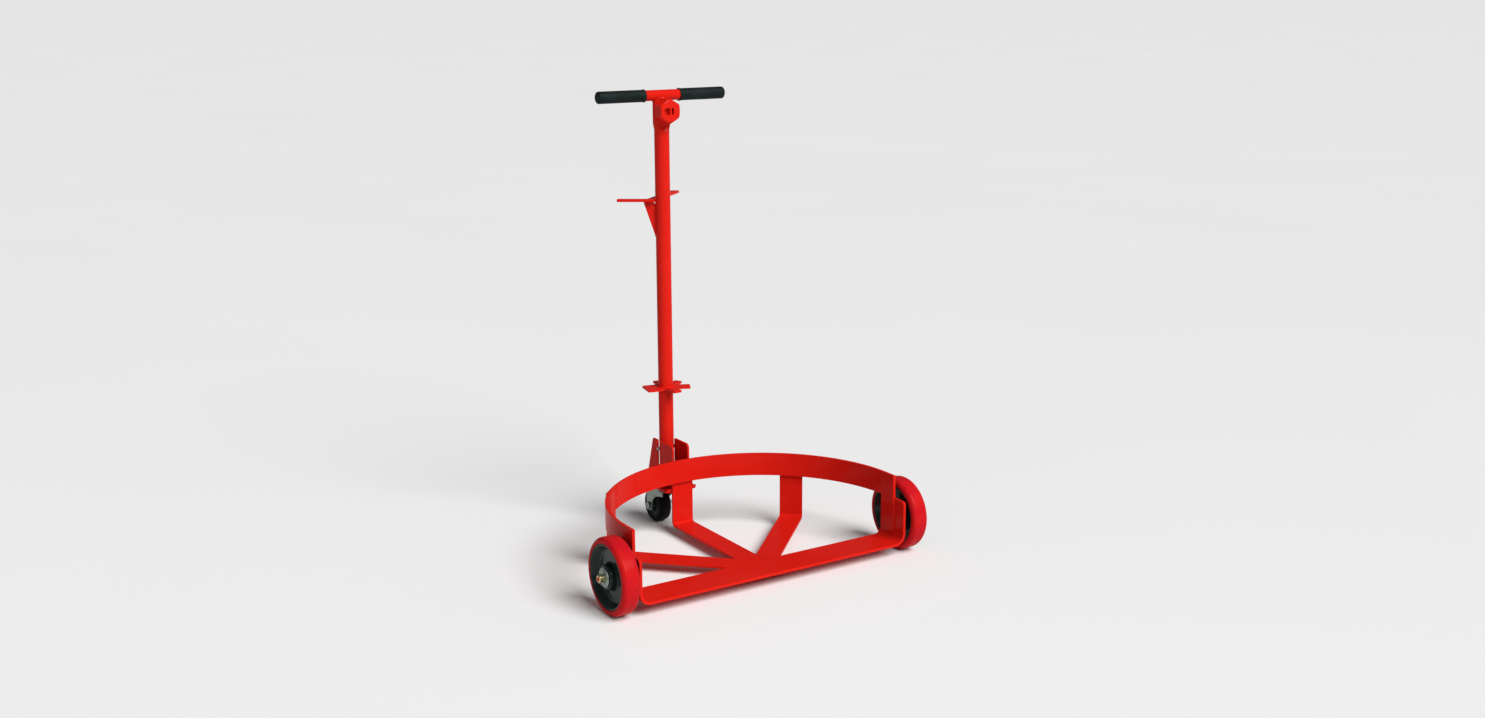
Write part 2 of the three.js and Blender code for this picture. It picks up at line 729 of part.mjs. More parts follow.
function hexAlongX(flats, x0, x1, y, z) {
  return slabAlongX(hexagon(flats), x0, x1 - x0).translate(0, y, z);
}

function casterAxleBolt(y, z) {
  const side = YOKE_HALF_X + GAP;
  const end = side + CASTER_AXLE_NUT + CASTER_AXLE_POINT;
  const head = hexAlongX(CASTER_AXLE_FLATS, -side - HEAD_HEIGHT, -side, y, z);
  const shank = rodX(CASTER_AXLE_RADIUS, -side - CUT, end, y, z, 12);
  return join(head, shank);
}

function casterAxleNut(y, z) {
  const side = YOKE_HALF_X + GAP;
  const end = side + CASTER_AXLE_NUT;
  const nut = hexAlongX(CASTER_AXLE_FLATS, side, end, y, z);
  return cut(nut, rodX(CASTER_AXLE_RADIUS + GAP, side - CUT, end + CUT, y, z, 12));
}

function casterWheelCore(y, z) {
  const half = CASTER_WIDTH / 2;
  const hub = half + 1;
  const rim = half - 1;
  const web = half - CASTER_RECESS;
  const bore = CASTER_BUSH_OUTER + GAP;
  const inner = CASTER_CORE_RADIUS - CASTER_CORE_RIM;
  const lip = CASTER_CORE_RADIUS - CASTER_CORE_RIM / 2;
  const hubFoot = CASTER_HUB_RADIUS + 1;
  const profile = [
    [bore, -hub],
    [CASTER_HUB_RADIUS, -hub],
    [hubFoot, -web],
    [inner, -web],
    [lip, -rim],
    [CASTER_CORE_RADIUS, -rim],
    [CASTER_CORE_RADIUS, rim],
    [lip, rim],
    [inner, web],
    [hubFoot, web],
    [CASTER_HUB_RADIUS, hub],
    [bore, hub],
    [bore, -hub],
  ];
  return turnedX(profile, 28).translate(0, y, z);
}

function addCaster() {
  const axleY = CASTER_Y + CASTER_LEAD;
  const axleZ = CASTER_RADIUS;
  add("caster_top_plate", casterTopPlate(), ZINC_STEEL);
  add("caster_race", casterRace(), ZINC_STEEL);
  add("caster_kingpin", casterKingpin(), ZINC_STEEL);
  casterBoltPlaces().forEach(({ x, y }, index) => {
    add(`caster_bolt_${index + 1}`, plateBolt(x, y), ZINC_STEEL);
    add(`caster_nut_${index + 1}`, plateNut(x, y), ZINC_STEEL);
  });
  add("caster_yoke", casterYoke(), ZINC_STEEL);
  add("caster_axle_bolt", casterAxleBolt(axleY, axleZ), ZINC_STEEL);
  add("caster_axle_nut", casterAxleNut(axleY, axleZ), ZINC_STEEL);
  add("caster_wheel_core", casterWheelCore(axleY, axleZ), CAST_CORE);
  const inner = CASTER_CORE_RADIUS + GAP;
  const tyre = treadRing(inner, CASTER_RADIUS, CASTER_WIDTH, CASTER_TYRE_ROUND);
  add("caster_wheel_tyre", tyre.translate(0, axleY, axleZ), CASTER_TYRE);
  const bushHalf = YOKE_HALF_X - YOKE_THICK - GAP;
  const bore = CASTER_AXLE_RADIUS + GAP;
  const bush = turnedX(ringProfile(bore, CASTER_BUSH_OUTER, -bushHalf, bushHalf), FINE_STEPS);
  add("caster_wheel_bush", bush.translate(0, axleY, axleZ), YELLOW_ZINC);
}

// ---------------------------------------------------------------- handle

// A round bar from z0 to z1 whose top is pressed to an oval.
function pressedRod(radius, z0, z1) {
  const middle = (FLAT_START_Z + FLAT_FULL_Z) / 2;
  const levels = [z0, FLAT_START_Z, middle, FLAT_FULL_Z, z1];
  const profile = [[0, z0], ...levels.map((z) => [radius, z]), [0, z1]];
  const geometry = turnedX(profile).rotateY(-Math.PI / 2);
  const position = geometry.attributes.position;
  const less = POST_RADIUS - radius;
  for (let i = 0; i < position.count; i += 1) {
    const pressed = THREE.MathUtils.smoothstep(position.getZ(i), FLAT_START_Z, FLAT_FULL_Z);
    const wide = THREE.MathUtils.lerp(1, (FLAT_HALF_X - less) / radius, pressed);
    const deep = THREE.MathUtils.lerp(1, (FLAT_HALF_Y - less) / radius, pressed);
    position.setXY(i, position.getX(i) * wide, position.getY(i) * deep);
  }
  return geometry.translate(0, POST_Y, 0);
}

function post() {
  const foot = BRACKET_TOP + GAP;
  const pinHole = rodX(PIN_RADIUS + GAP, -PIN_HALF, PIN_HALF, POST_Y, PIN_Z, FINE_STEPS);
  const saddle = rodX(T_BAR_RADIUS + GAP, -T_BAR_HALF, T_BAR_HALF, POST_Y, T_BAR_Z);
  const half = T_BAR_RADIUS * 2;
  const above = block(-half, half, POST_Y - half, POST_Y + half, T_BAR_Z - 2, T_BAR_Z + CUT);
  const outer = pressedRod(POST_RADIUS, foot, T_BAR_Z);
  const bore = pressedRod(POST_RADIUS - POST_WALL, foot - CUT, T_BAR_Z + CUT);
  return cut(outer, bore, pinHole, saddle, above);
}

function tBar() {
  const profile = ringProfile(T_BAR_RADIUS - T_BAR_WALL, T_BAR_RADIUS, -T_BAR_HALF, T_BAR_HALF);
  return turnedX(profile).translate(0, POST_Y, T_BAR_Z);
}

// A sleeve with a closed, slightly domed outer end and a small collar at its inner end.
function grip(sign) {
  const bore = T_BAR_RADIUS + GAP;
  const collar = GRIP_RADIUS + GRIP_COLLAR;
  const collarEnd = GRIP_INNER_X + GRIP_COLLAR_WIDTH;
  const bevel = GRIP_ROUND * 0.3; // middle point of the rounding
  const profile = [
    [bore, GRIP_INNER_X],
    [collar, GRIP_INNER_X],
    [collar, collarEnd],
    [GRIP_RADIUS, collarEnd + 1],
    [GRIP_RADIUS, GRIP_OUTER_X - GRIP_ROUND],
    [GRIP_RADIUS - bevel, GRIP_OUTER_X - bevel],
    [GRIP_RADIUS - GRIP_ROUND, GRIP_OUTER_X],
    [0, GRIP_OUTER_X],
    [0, T_BAR_HALF + GAP],
    [bore, T_BAR_HALF + GAP],
    [bore, GRIP_INNER_X],
  ];
  const sleeve = turnedX(profile);
  return sleeve.rotateZ(sign > 0 ? 0 : Math.PI).translate(0, POST_Y, T_BAR_Z);
}

// Hexagon wrench head on the front of the pressed part of the post, with two pockets in its face.
function hexWrench() {
  const prism = slabAlongY(hexagon(HEX_FLATS, Math.PI / 2), HEX_FRONT_Y, HEX_REAR_Y - HEX_FRONT_Y);
  const low = HEX_Z - HEX_FLATS;
  const cutters = [
    pressedRod(POST_RADIUS + GAP, low, T_BAR_Z),
    rodX(T_BAR_RADIUS + GAP, -HEX_FLATS, HEX_FLATS, POST_Y, T_BAR_Z),
  ];
  for (const { x, width, height } of HEX_POCKETS) {
    const y1 = HEX_FRONT_Y + HEX_POCKET_DEPTH;
    const z0 = HEX_Z - height / 2;
    cutters.push(block(x - width / 2, x + width / 2, HEX_FRONT_Y - CUT, y1, z0, z0 + height));
  }
  return cut(prism.translate(0, 0, HEX_Z), ...cutters);
}

function postHole(z0, z1) {
  return rodZ(POST_RADIUS + GAP, z0 - CUT, z1 + CUT, 0, 0);
}

function hookPlate() {
  const z0 = HOOK_TOP - HOOK_THICK;
  const flat = plate(outline(HOOK_OUTLINE), z0, HOOK_THICK);
  return cut(flat, postHole(z0, HOOK_TOP)).translate(0, POST_Y, 0);
}

// A triangle under the hook, its inner top corner cut off clear of the welds.
function hookGusset() {
  const inner = POST_RADIUS + GAP;
  const top = HOOK_TOP - HOOK_THICK - GAP;
  const shape = outline([
    [inner, top - GUSSET_DROP],
    [GUSSET_REACH, top - GUSSET_TIP],
    [GUSSET_REACH, top],
    [inner + GUSSET_SNIPE, top],
    [inner, top - GUSSET_SNIPE],
  ]);
  const flat = slabAlongY(shape, -GUSSET_THICK / 2, GUSSET_THICK);
  const tucked = flat.rotateZ(rad(GUSSET_ANGLE));
  const postSpace = rodZ(inner, top - GUSSET_DROP - CUT, top + CUT, 0, 0);
  return cut(tucked, postSpace).translate(0, POST_Y, 0);
}

// Flat star with lobes of different widths, which fits several sizes of drum plug.
function starPlate() {
  const z0 = STAR_TOP - STAR_THICK;
  const lobes = STAR_LOBES.map(({ angle, reach, width }) => {
    const lobe = block(0, reach, -width / 2, width / 2, z0, STAR_TOP);
    return lobe.rotateZ(rad(angle));
  });
  const star = join(rodZ(STAR_HUB, z0, STAR_TOP, 0, 0), ...lobes);
  return cut(star, postHole(z0, STAR_TOP)).translate(0, POST_Y, 0);
}

function addHandle() {
  add("post", post(), RED_PAINT);
  add("cross_pin", rodX(PIN_RADIUS, -PIN_HALF, PIN_HALF, POST_Y, PIN_Z, FINE_STEPS), ZINC_STEEL);
  add("t_bar", tBar(), RED_PAINT);
  for (const { name, sign } of SIDES) {
    add(`${name}_grip`, grip(sign), BLACK_RUBBER);
  }
  add("hex_wrench", hexWrench(), RED_PAINT);
  add("hook_plate", hookPlate(), RED_PAINT);
  add("hook_gusset", hookGusset(), RED_PAINT);
  add("star_plate", starPlate(), RED_PAINT);
}

// ---------------------------------------------------------------- the whole dolly

addBase();
addBracket();
for (const { name, sign } of SIDES) {
  addFrontWheel(name, sign);
}
addCaster();
addHandle();

const footprint = new THREE.Box3().setFromObject(assembly);
assembly.position.y = -(footprint.min.y + footprint.max.y) / 2;

export default assembly;
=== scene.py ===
"""Looks of the drum dolly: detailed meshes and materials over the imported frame, floor, lights and camera.

Sizes are in millimetres, set out from the floor point under the middle of the wheel axle, and are
turned into metres of the shared frame by at().
"""

import math

import bmesh
import bpy
from mathutils import Matrix, Vector


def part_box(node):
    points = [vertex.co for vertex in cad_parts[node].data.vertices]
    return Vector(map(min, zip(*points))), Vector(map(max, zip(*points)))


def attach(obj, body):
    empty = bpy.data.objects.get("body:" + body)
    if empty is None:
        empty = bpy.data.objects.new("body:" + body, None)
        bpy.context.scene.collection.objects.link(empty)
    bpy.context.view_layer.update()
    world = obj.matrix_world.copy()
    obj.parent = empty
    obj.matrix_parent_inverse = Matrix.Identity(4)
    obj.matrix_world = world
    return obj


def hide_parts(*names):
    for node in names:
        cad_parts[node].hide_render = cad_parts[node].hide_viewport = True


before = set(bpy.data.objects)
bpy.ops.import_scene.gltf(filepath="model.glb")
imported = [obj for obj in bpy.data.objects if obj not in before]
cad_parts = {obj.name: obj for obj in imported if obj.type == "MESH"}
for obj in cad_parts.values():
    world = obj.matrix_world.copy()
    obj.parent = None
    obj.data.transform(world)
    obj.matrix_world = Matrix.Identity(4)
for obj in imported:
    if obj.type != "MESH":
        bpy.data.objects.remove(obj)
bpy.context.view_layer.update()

# ---------------------------------------------------------------- dimensions, as in the CAD model

MM = 0.001
GAP = 0.3  # left between two pieces that meet
TREAD_LOW, TREAD_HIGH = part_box("left_wheel_tread")
AXLE_Y = (TREAD_LOW.y + TREAD_HIGH.y) / 2

STRAP = 6.0
RING_RADIUS = 305.0
RING_OUTER = RING_RADIUS + STRAP
RING_Y = 9.0
BAND_BOTTOM = 118.2
BAND_TOP = 168.0
BAND_END_Y = -23.0

BAR_FRONT_Y = -55.0
BAR_REAR_Y = 21.0
BAR_UNDERSIDE = 25.0
BAR_BEND = 18.0
TAB_TOP = 117.9
TAB_CORNER = 9.0
LEG_THICK = 3.0
LEG_REAR_Y = 18.0
TAB_INNER = RING_RADIUS + LEG_THICK + GAP
TAB_OUTER = TAB_INNER + STRAP

SPOKE_WIDTH = 50.0
SPOKE_THICK = 5.0
SPOKE_BEND = 6.0
SPOKE_TOP = BAR_UNDERSIDE - GAP
SPOKE_HEAD = 162.0
SPOKE_FACE = RING_OUTER + GAP
CENTRE_SPOKE_REACH = 34.0

WHEEL_RADIUS = 76.2
WHEEL_WIDTH = 37.0
WHEEL_MID_X = 339.5
CORE_RADIUS = 64.0
AXLE_Z = WHEEL_RADIUS
AXLE_RADIUS = 8.0
AXLE_END_X = 373.5
COTTER_X = 367.0

POST_Y = 387.2
POST_RADIUS = 15.9
POST_FOOT = 101.8
FLAT_START_Z = 862.0
FLAT_FULL_Z = 880.0
FLAT_HALF_X = 18.8
FLAT_HALF_Y = 12.0
T_BAR_Z = 937.8
T_BAR_RADIUS = 11.1
GRIP_INNER_X = 40.5
GRIP_OUTER_X = 150.0
GRIP_RADIUS = 12.6
T_BAR_HALF = 146.0

BRACKET_HALF_X = 38.0
BRACKET_FRONT_Y = 325.6
BRACKET_REAR_Y = 440.0
BRACKET_BOTTOM = 95.5
BRACKET_TOP = 101.5
BRACKET_CORNER = 6.0
EAR_INNER_X = 16.4
EAR_THICK = 4.6
EAR_TOP = 197.5
SLOT_WIDTH = 9.4
SLOT_BOTTOM = 140.0
STOP_HEIGHT = 16.0
STOP_THICK = 6.0
PIN_Z = 178.5
PIN_HALF = 23.0

CASTER_Y = 400.0
CASTER_LEAD = 30.0
CASTER_RADIUS = 38.0
CASTER_WIDTH = 31.0
CASTER_CORE_RADIUS = 24.0
YOKE_TOP = 84.5
YOKE_THICK = 2.8
YOKE_HALF_X = 21.8
YOKE_REAR = 42.0
YOKE_FRONT = 27.0
FORK_END_RADIUS = 11.5
CASTER_PLATE_HALF_X = 36.5
CASTER_PLATE_HALF_Y = 39.5
CASTER_PLATE_CORNER = 6.0
CASTER_PLATE_THICK = 2.7
CASTER_PLATE_TOP = BRACKET_BOTTOM - GAP
CASTER_BOLTS = [(x, CASTER_Y + y) for x in (-30, 30) for y in (-31, 31)]
CASTER_AXLE_FLATS = 15.0
BOLT_RADIUS = 3.9
NUT_FLATS = 13.0
NUT_HEIGHT = 6.0
HEAD_HEIGHT = 5.0

STAR_TOP = 316.0
STAR_THICK = 5.0
HOOK_TOP = 723.0
HOOK_THICK = 5.5
HEX_FLATS = 45.0
HEX_Z = 906.5
HEX_FRONT_Y = 348.5
HEX_REAR_Y = 375.0
GUSSET_ANGLE = 152

SIDES = (("left", -1), ("right", 1))

# ---------------------------------------------------------------- materials


class Shader:
    """A material built on one Principled shader, with short helpers for its nodes."""

    def __init__(self, name, color, roughness, metallic=0.0):
        self.material = bpy.data.materials.new(name)
        self.material.use_nodes = True
        self.nodes = self.material.node_tree.nodes
        self.links = self.material.node_tree.links
        self.shader = self.nodes["Principled BSDF"]
        self.shader.inputs["Base Color"].default_value = (*color, 1.0)
        self.shader.inputs["Roughness"].default_value = roughness
        self.shader.inputs["Metallic"].default_value = metallic
        self.material.diffuse_color = (*color, 1.0)
        self.coords = self.nodes.new("ShaderNodeTexCoord").outputs["Object"]
        self.normal = None

    def noise(self, scale, detail=2.0, stretch=None, distortion=0.0):
        vector = self.coords
        if stretch is not None:
            mapping = self.nodes.new("ShaderNodeMapping")
            mapping.inputs["Scale"].default_value = stretch
            self.links.new(vector, mapping.inputs["Vector"])
            vector = mapping.outputs["Vector"]
        node = self.nodes.new("ShaderNodeTexNoise")
        node.inputs["Scale"].default_value = scale
        node.inputs["Detail"].default_value = detail
        node.inputs["Distortion"].default_value = distortion
        self.links.new(vector, node.inputs["Vector"])
        return node.outputs["Fac"]

    def remap(self, value, low, high, to_low, to_high):
        node = self.nodes.new("ShaderNodeMapRange")
        node.inputs["From Min"].default_value = low
        node.inputs["From Max"].default_value = high
        node.inputs["To Min"].default_value = to_low
        node.inputs["To Max"].default_value = to_high
        self.links.new(value, node.inputs["Value"])
        return node.outputs["Result"]

    def mix(self, factor, color_a, color_b):
        node = self.nodes.new("ShaderNodeMix")
        node.data_type = "RGBA"
        self.links.new(factor, node.inputs[0])
        for socket, color in ((node.inputs[6], color_a), (node.inputs[7], color_b)):
            if isinstance(color, tuple):
                socket.default_value = (*color, 1.0)
            else:
                self.links.new(color, socket)
        return node.outputs[2]

    def color(self, socket):
        self.links.new(socket, self.shader.inputs["Base Color"])

    def roughness(self, socket):
        self.links.new(socket, self.shader.inputs["Roughness"])

    def bump(self, height, distance, strength=1.0):
        node = self.nodes.new("ShaderNodeBump")
        node.inputs["Strength"].default_value = strength
        node.inputs["Distance"].default_value = distance
        self.links.new(height, node.inputs["Height"])
        if self.normal is not None:
            self.links.new(self.normal, node.inputs["Normal"])
        self.normal = node.outputs["Normal"]
        self.links.new(self.normal, self.shader.inputs["Normal"])


def red_paint():
    """Glossy powder coat: fine orange peel, faint colour drift, a little dust."""
    shader = Shader("red_powder_coat", (0.58, 0.011, 0.006), 0.3)
    drift = shader.remap(shader.noise(5.0, 3.0), 0.35, 0.65, 0.0, 1.0)
    base = shader.mix(drift, (0.60, 0.012, 0.006), (0.56, 0.010, 0.005))
    dust = shader.remap(shader.noise(260.0, 6.0), 0.68, 0.85, 0.0, 0.1)
    shader.color(shader.mix(dust, base, (0.55, 0.05, 0.04)))
    shader.roughness(shader.remap(shader.noise(30.0, 4.0), 0.3, 0.7, 0.24, 0.34))
    shader.bump(shader.noise(620.0, 1.5), 0.00012, 0.12)
    shader.shader.inputs["Specular IOR Level"].default_value = 0.015
    shader.shader.inputs["Coat Weight"].default_value = 0.09
    shader.shader.inputs["Coat Roughness"].default_value = 0.08
    return shader.material


def red_tread():
    """Cast polyurethane: deeper red, fine turning marks and a scuffed running face."""
    shader = Shader("red_polyurethane", (0.46, 0.008, 0.01), 0.34)
    cloud = shader.remap(shader.noise(18.0, 4.0), 0.35, 0.7, 0.0, 1.0)
    base = shader.mix(cloud, (0.50, 0.010, 0.008), (0.43, 0.005, 0.014))
    scuff = shader.remap(shader.noise(260.0, 5.0, stretch=(0.3, 1.0, 1.0)), 0.64, 0.8, 0.0, 0.3)
    shader.color(shader.mix(scuff, base, (0.42, 0.045, 0.04)))
    shader.roughness(shader.remap(shader.noise(120.0, 4.0), 0.3, 0.7, 0.28, 0.46))
    shader.bump(shader.noise(600.0, 2.0), 0.0003, 0.2)
    shader.bump(shader.noise(900.0, 1.0, stretch=(1.0, 0.05, 0.05)), 0.0002, 0.2)
    shader.shader.inputs["Specular IOR Level"].default_value = 0.02
    shader.shader.inputs["Coat Weight"].default_value = 0.05
    shader.shader.inputs["Coat Roughness"].default_value = 0.15
    return shader.material


def cast_core():
    """Dark grey-green painted casting with a grainy skin."""
    shader = Shader("dark_casting", (0.014, 0.021, 0.02), 0.36)
    grain = shader.remap(shader.noise(340.0, 5.0), 0.35, 0.7, 0.0, 1.0)
    base = shader.mix(grain, (0.008, 0.017, 0.015), (0.014, 0.026, 0.023))
    worn = shader.remap(shader.noise(45.0, 6.0), 0.6, 0.72, 0.0, 0.6)
    shader.color(shader.mix(worn, base, (0.026, 0.034, 0.032)))
    shader.roughness(shader.remap(shader.noise(80.0, 4.0), 0.3, 0.7, 0.16, 0.3))
    shader.bump(shader.noise(700.0, 4.0), 0.0003, 0.3)
    shader.bump(shader.noise(150.0, 2.0), 0.0006, 0.12)
    shader.shader.inputs["Specular IOR Level"].default_value = 0.08
    shader.shader.inputs["Coat Weight"].default_value = 0.22
    shader.shader.inputs["Coat Roughness"].default_value = 0.1
    return shader.material


def grip_rubber():
    """Black moulded rubber: matt grain with paler handled areas."""
    shader = Shader("moulded_rubber", (0.014, 0.018, 0.02), 0.55)
    rubbed = shader.remap(shader.noise(30.0, 4.0), 0.45, 0.7, 0.0, 1.0)
    shader.color(shader.mix(rubbed, (0.006, 0.011, 0.011), (0.011, 0.018, 0.019)))
    shader.roughness(shader.remap(shader.noise(60.0, 5.0), 0.3, 0.7, 0.4, 0.68))
    shader.bump(shader.noise(1400.0, 3.0), 0.0003, 0.5)
    shader.shader.inputs["Specular IOR Level"].default_value = 0.08
    return shader.material


def caster_tyre():
    """Dull black tyre with a dusty running face."""
    shader = Shader("black_tyre", (0.01, 0.011, 0.011), 0.5)
    dust = shader.remap(shader.noise(70.0, 6.0), 0.5, 0.75, 0.0, 0.8)
    shader.color(shader.mix(dust, (0.004, 0.005, 0.005), (0.014, 0.012, 0.012)))
    shader.roughness(shader.remap(shader.noise(90.0, 4.0), 0.3, 0.7, 0.35, 0.62))
    shader.bump(shader.noise(900.0, 3.0), 0.0003, 0.4)
    shader.shader.inputs["Specular IOR Level"].default_value = 0.07
    return shader.material


def zinc_steel():
    """Zinc plate gone slightly grey-green, with soft spangle and fine scratches."""
    shader = Shader("zinc_plate", (0.3, 0.34, 0.32), 0.38, 0.85)
    spangle = shader.remap(shader.noise(110.0, 3.0, distortion=1.5), 0.35, 0.65, 0.0, 1.0)
    base = shader.mix(spangle, (0.2, 0.24, 0.21), (0.31, 0.35, 0.32))
    stain = shader.remap(shader.noise(28.0, 6.0), 0.58, 0.75, 0.0, 0.7)
    shader.color(shader.mix(stain, base, (0.11, 0.125, 0.1)))
    shader.roughness(shader.remap(shader.noise(140.0, 4.0), 0.3, 0.7, 0.26, 0.5))
    shader.bump(shader.noise(500.0, 3.0, stretch=(1.0, 0.2, 1.0)), 0.0002, 0.3)
    return shader.material


def yellow_zinc():
    """Yellow passivated steel: straw colour drifting to pale green and pink."""
    shader = Shader("yellow_passivate", (0.5, 0.4, 0.18), 0.3, 0.9)
    drift = shader.remap(shader.noise(180.0, 3.0, distortion=1.0), 0.35, 0.65, 0.0, 1.0)
    base = shader.mix(drift, (0.55, 0.44, 0.2), (0.42, 0.42, 0.24))
    blush = shader.remap(shader.noise(260.0, 2.0), 0.55, 0.7, 0.0, 0.5)
    shader.color(shader.mix(blush, base, (0.55, 0.34, 0.24)))
    shader.roughness(shader.remap(shader.noise(300.0, 3.0), 0.3, 0.7, 0.22, 0.42))
    shader.bump(shader.noise(800.0, 2.0), 0.0002, 0.25)
    return shader.material


def floor_paper():
    """Pale seamless studio floor."""
    shader = Shader("studio_floor", (0.8, 0.8, 0.8), 0.9)
    tone = shader.remap(shader.noise(0.6, 2.0), 0.3, 0.7, 0.0, 1.0)
    shader.color(shader.mix(tone, (0.80, 0.80, 0.798), (0.815, 0.815, 0.813)))
    return shader.material


PAINT = red_paint()
TREAD = red_tread()
CORE = cast_core()
RUBBER = grip_rubber()
TYRE = caster_tyre()
ZINC = zinc_steel()
YELLOW = yellow_zinc()

# ---------------------------------------------------------------- placing and mesh building

IN_FRAME = Matrix.Translation((0.0, AXLE_Y, 0.0)) @ Matrix.Scale(MM, 4)


def at(x, y, z):
    """A point in millimetres from under the axle, in metres of the shared frame."""
    return IN_FRAME @ Vector((x, y, z))


def axes(origin, u, v, w):
    """A placing whose local axes run along u, v and w, in millimetres."""
    columns = [Vector(u), Vector(v), Vector(w)]
    matrix = Matrix.Identity(4)
    for column, axis in enumerate(columns):
        for row in range(3):
            matrix[row][column] = axis[row]
    return Matrix.Translation(origin) @ matrix


def flat_at(z, x=0.0, y=0.0):
    """Local xy plane level at height z, thickness upwards."""
    return Matrix.Translation((x, y, z))


def facing_x(x):
    """Local (u, v) are (y, z); thickness runs along X from x."""
    return axes((x, 0, 0), (0, 1, 0), (0, 0, 1), (1, 0, 0))


def facing_y(y):
    """Local (u, v) are (x, z); thickness runs along Y, forwards from y."""
    return axes((0, y, 0), (1, 0, 0), (0, 0, 1), (0, -1, 0))


def clean(mesh, distance):
    """Merges doubled points and turns every face outwards."""
    work = bmesh.new()
    work.from_mesh(mesh)
    bmesh.ops.remove_doubles(work, verts=work.verts, dist=distance)
    bmesh.ops.dissolve_degenerate(work, edges=work.edges, dist=distance / 2)
    bmesh.ops.recalc_face_normals(work, faces=work.faces)
    work.to_mesh(mesh)
    work.free()


def add_piece(name, mesh, material, body, replaced=(), sharp=35.0):
    """Puts a finished mesh, in frame metres, into the scene on its body."""
    mesh.name = name
    mesh.materials.clear()
    mesh.materials.append(material)
    for polygon in mesh.polygons:
        polygon.use_smooth = True
    mesh.set_sharp_from_angle(angle=math.radians(sharp))
    piece = bpy.data.objects.new(name, mesh)
    bpy.context.scene.collection.objects.link(piece)
    weighted = piece.modifiers.new("flat_faces", "WEIGHTED_NORMAL")
    weighted.keep_sharp = True
    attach(piece, body)
    if replaced:
        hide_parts(*replaced)
    return piece


def plate_mesh(loops, thickness, placing, bevel=0.6):
    """A flat plate with rounded edges from its outline, and holes, in local millimetres."""
    curve = bpy.data.curves.new("outline", "CURVE")
    curve.dimensions = "2D"
    curve.fill_mode = "BOTH"
    curve.extrude = thickness / 2 - bevel
    curve.bevel_depth = bevel
    curve.bevel_resolution = 2
    curve.offset = -bevel
    for loop in loops:
        spline = curve.splines.new("POLY")
        spline.points.add(len(loop) - 1)
        for point, (u, v) in zip(spline.points, loop):
            point.co = (u, v, 0.0, 1.0)
        spline.use_cyclic_u = True
    holder = bpy.data.objects.new("outline", curve)
    bpy.context.scene.collection.objects.link(holder)
    graph = bpy.context.evaluated_depsgraph_get()
    mesh = bpy.data.meshes.new_from_object(holder.evaluated_get(graph))
    bpy.data.objects.remove(holder)
    bpy.data.curves.remove(curve)
    mesh.transform(IN_FRAME @ placing @ Matrix.Translation((0, 0, thickness / 2)))
    clean(mesh, 0.02 * MM)
    return mesh


def turned_mesh(profile, placing, steps=96):
    """A profile of (radius, along) turned about the local z axis."""
    closed = profile[0] == profile[-1]
    rows = profile[:-1] if closed else profile
    verts = []
    for step in range(steps):
        angle = 2 * math.pi * step / steps
        for radius, along in rows:
            verts.append((radius * math.cos(angle), radius * math.sin(angle), along))
    count = len(rows)
    spans = count if closed else count - 1
    faces = []
    for step in range(steps):
        here = step * count
        there = ((step + 1) % steps) * count
        for row in range(spans):
            other = (row + 1) % count
            faces.append((here + row, there + row, there + other, here + other))
    mesh = bpy.data.meshes.new("turned")
    mesh.from_pydata(verts, [], faces)
    mesh.transform(IN_FRAME @ placing)
    clean(mesh, 0.001 * MM)
    return mesh


def along_x(x=0.0, y=0.0, z=0.0, sign=1):
    """Local z runs along X, towards sign."""
    if sign > 0:
        return axes((x, y, z), (0, 1, 0), (0, 0, 1), (1, 0, 0))
    return axes((x, y, z), (0, 0, 1), (0, 1, 0), (-1, 0, 0))


def sweep_mesh(points, radius, sides=12, closed=False, ripple=0.0, pitch=3.0, squash=1.0):
    """A round wire or weld bead along points in millimetres; ripple gives a bead its waves."""
    path = [Vector(p) for p in points]
    count = len(path)
    lengths = [0.0]
    for a, b in zip(path, path[1:]):
        lengths.append(lengths[-1] + (b - a).length)
    verts = []
    normal = None
    for i, point in enumerate(path):
        before = path[i - 1] if (i or closed) else path[i]
        after = path[(i + 1) % count] if (i < count - 1 or closed) else path[i]
        tangent = (after - before).normalized()
        if normal is None:
            normal = tangent.orthogonal().normalized()
        normal = (normal - tangent * normal.dot(tangent)).normalized()
        side = tangent.cross(normal)
        wave = 1.0 + ripple * math.sin(2 * math.pi * lengths[i] / pitch)
        for step in range(sides):
            angle = 2 * math.pi * step / sides
            offset = normal * math.cos(angle) + side * math.sin(angle) * squash
            verts.append(point + offset * radius * wave)
    faces = []
    for i in range(count if closed else count - 1):
        here = i * sides
        there = ((i + 1) % count) * sides
        for step in range(sides):
            other = (step + 1) % sides
            faces.append((here + step, here + other, there + other, there + step))
    if not closed:
        faces.append(tuple(range(sides - 1, -1, -1)))
        faces.append(tuple(range((count - 1) * sides, count * sides)))
    mesh = bpy.data.meshes.new("sweep")
    mesh.from_pydata(verts, [], faces)
    mesh.transform(IN_FRAME)
    clean(mesh, 0.001 * MM)
    return mesh


def arc(centre, radius, start, end, steps=10):
    """Points on an arc, angles in degrees, both ends included."""
    points = []
    for i in range(steps + 1):
        angle = math.radians(start + (end - start) * i / steps)
        points.append((centre[0] + radius * math.cos(angle), centre[1] + radius * math.sin(angle)))
    return points


def line(a, b, spacing=0.6):
    """Evenly spaced points from a to b."""
    a, b = Vector(a), Vector(b)
    steps = max(2, int((b - a).length / spacing))
    return [a.lerp(b, i / steps) for i in range(steps + 1)]


def joined(meshes):
    """Several meshes as one."""
    work = bmesh.new()
    for mesh in meshes:
        work.from_mesh(mesh)
        bpy.data.meshes.remove(mesh)
    result = bpy.data.meshes.new("joined")
    work.to_mesh(result)
    work.free()
    return result


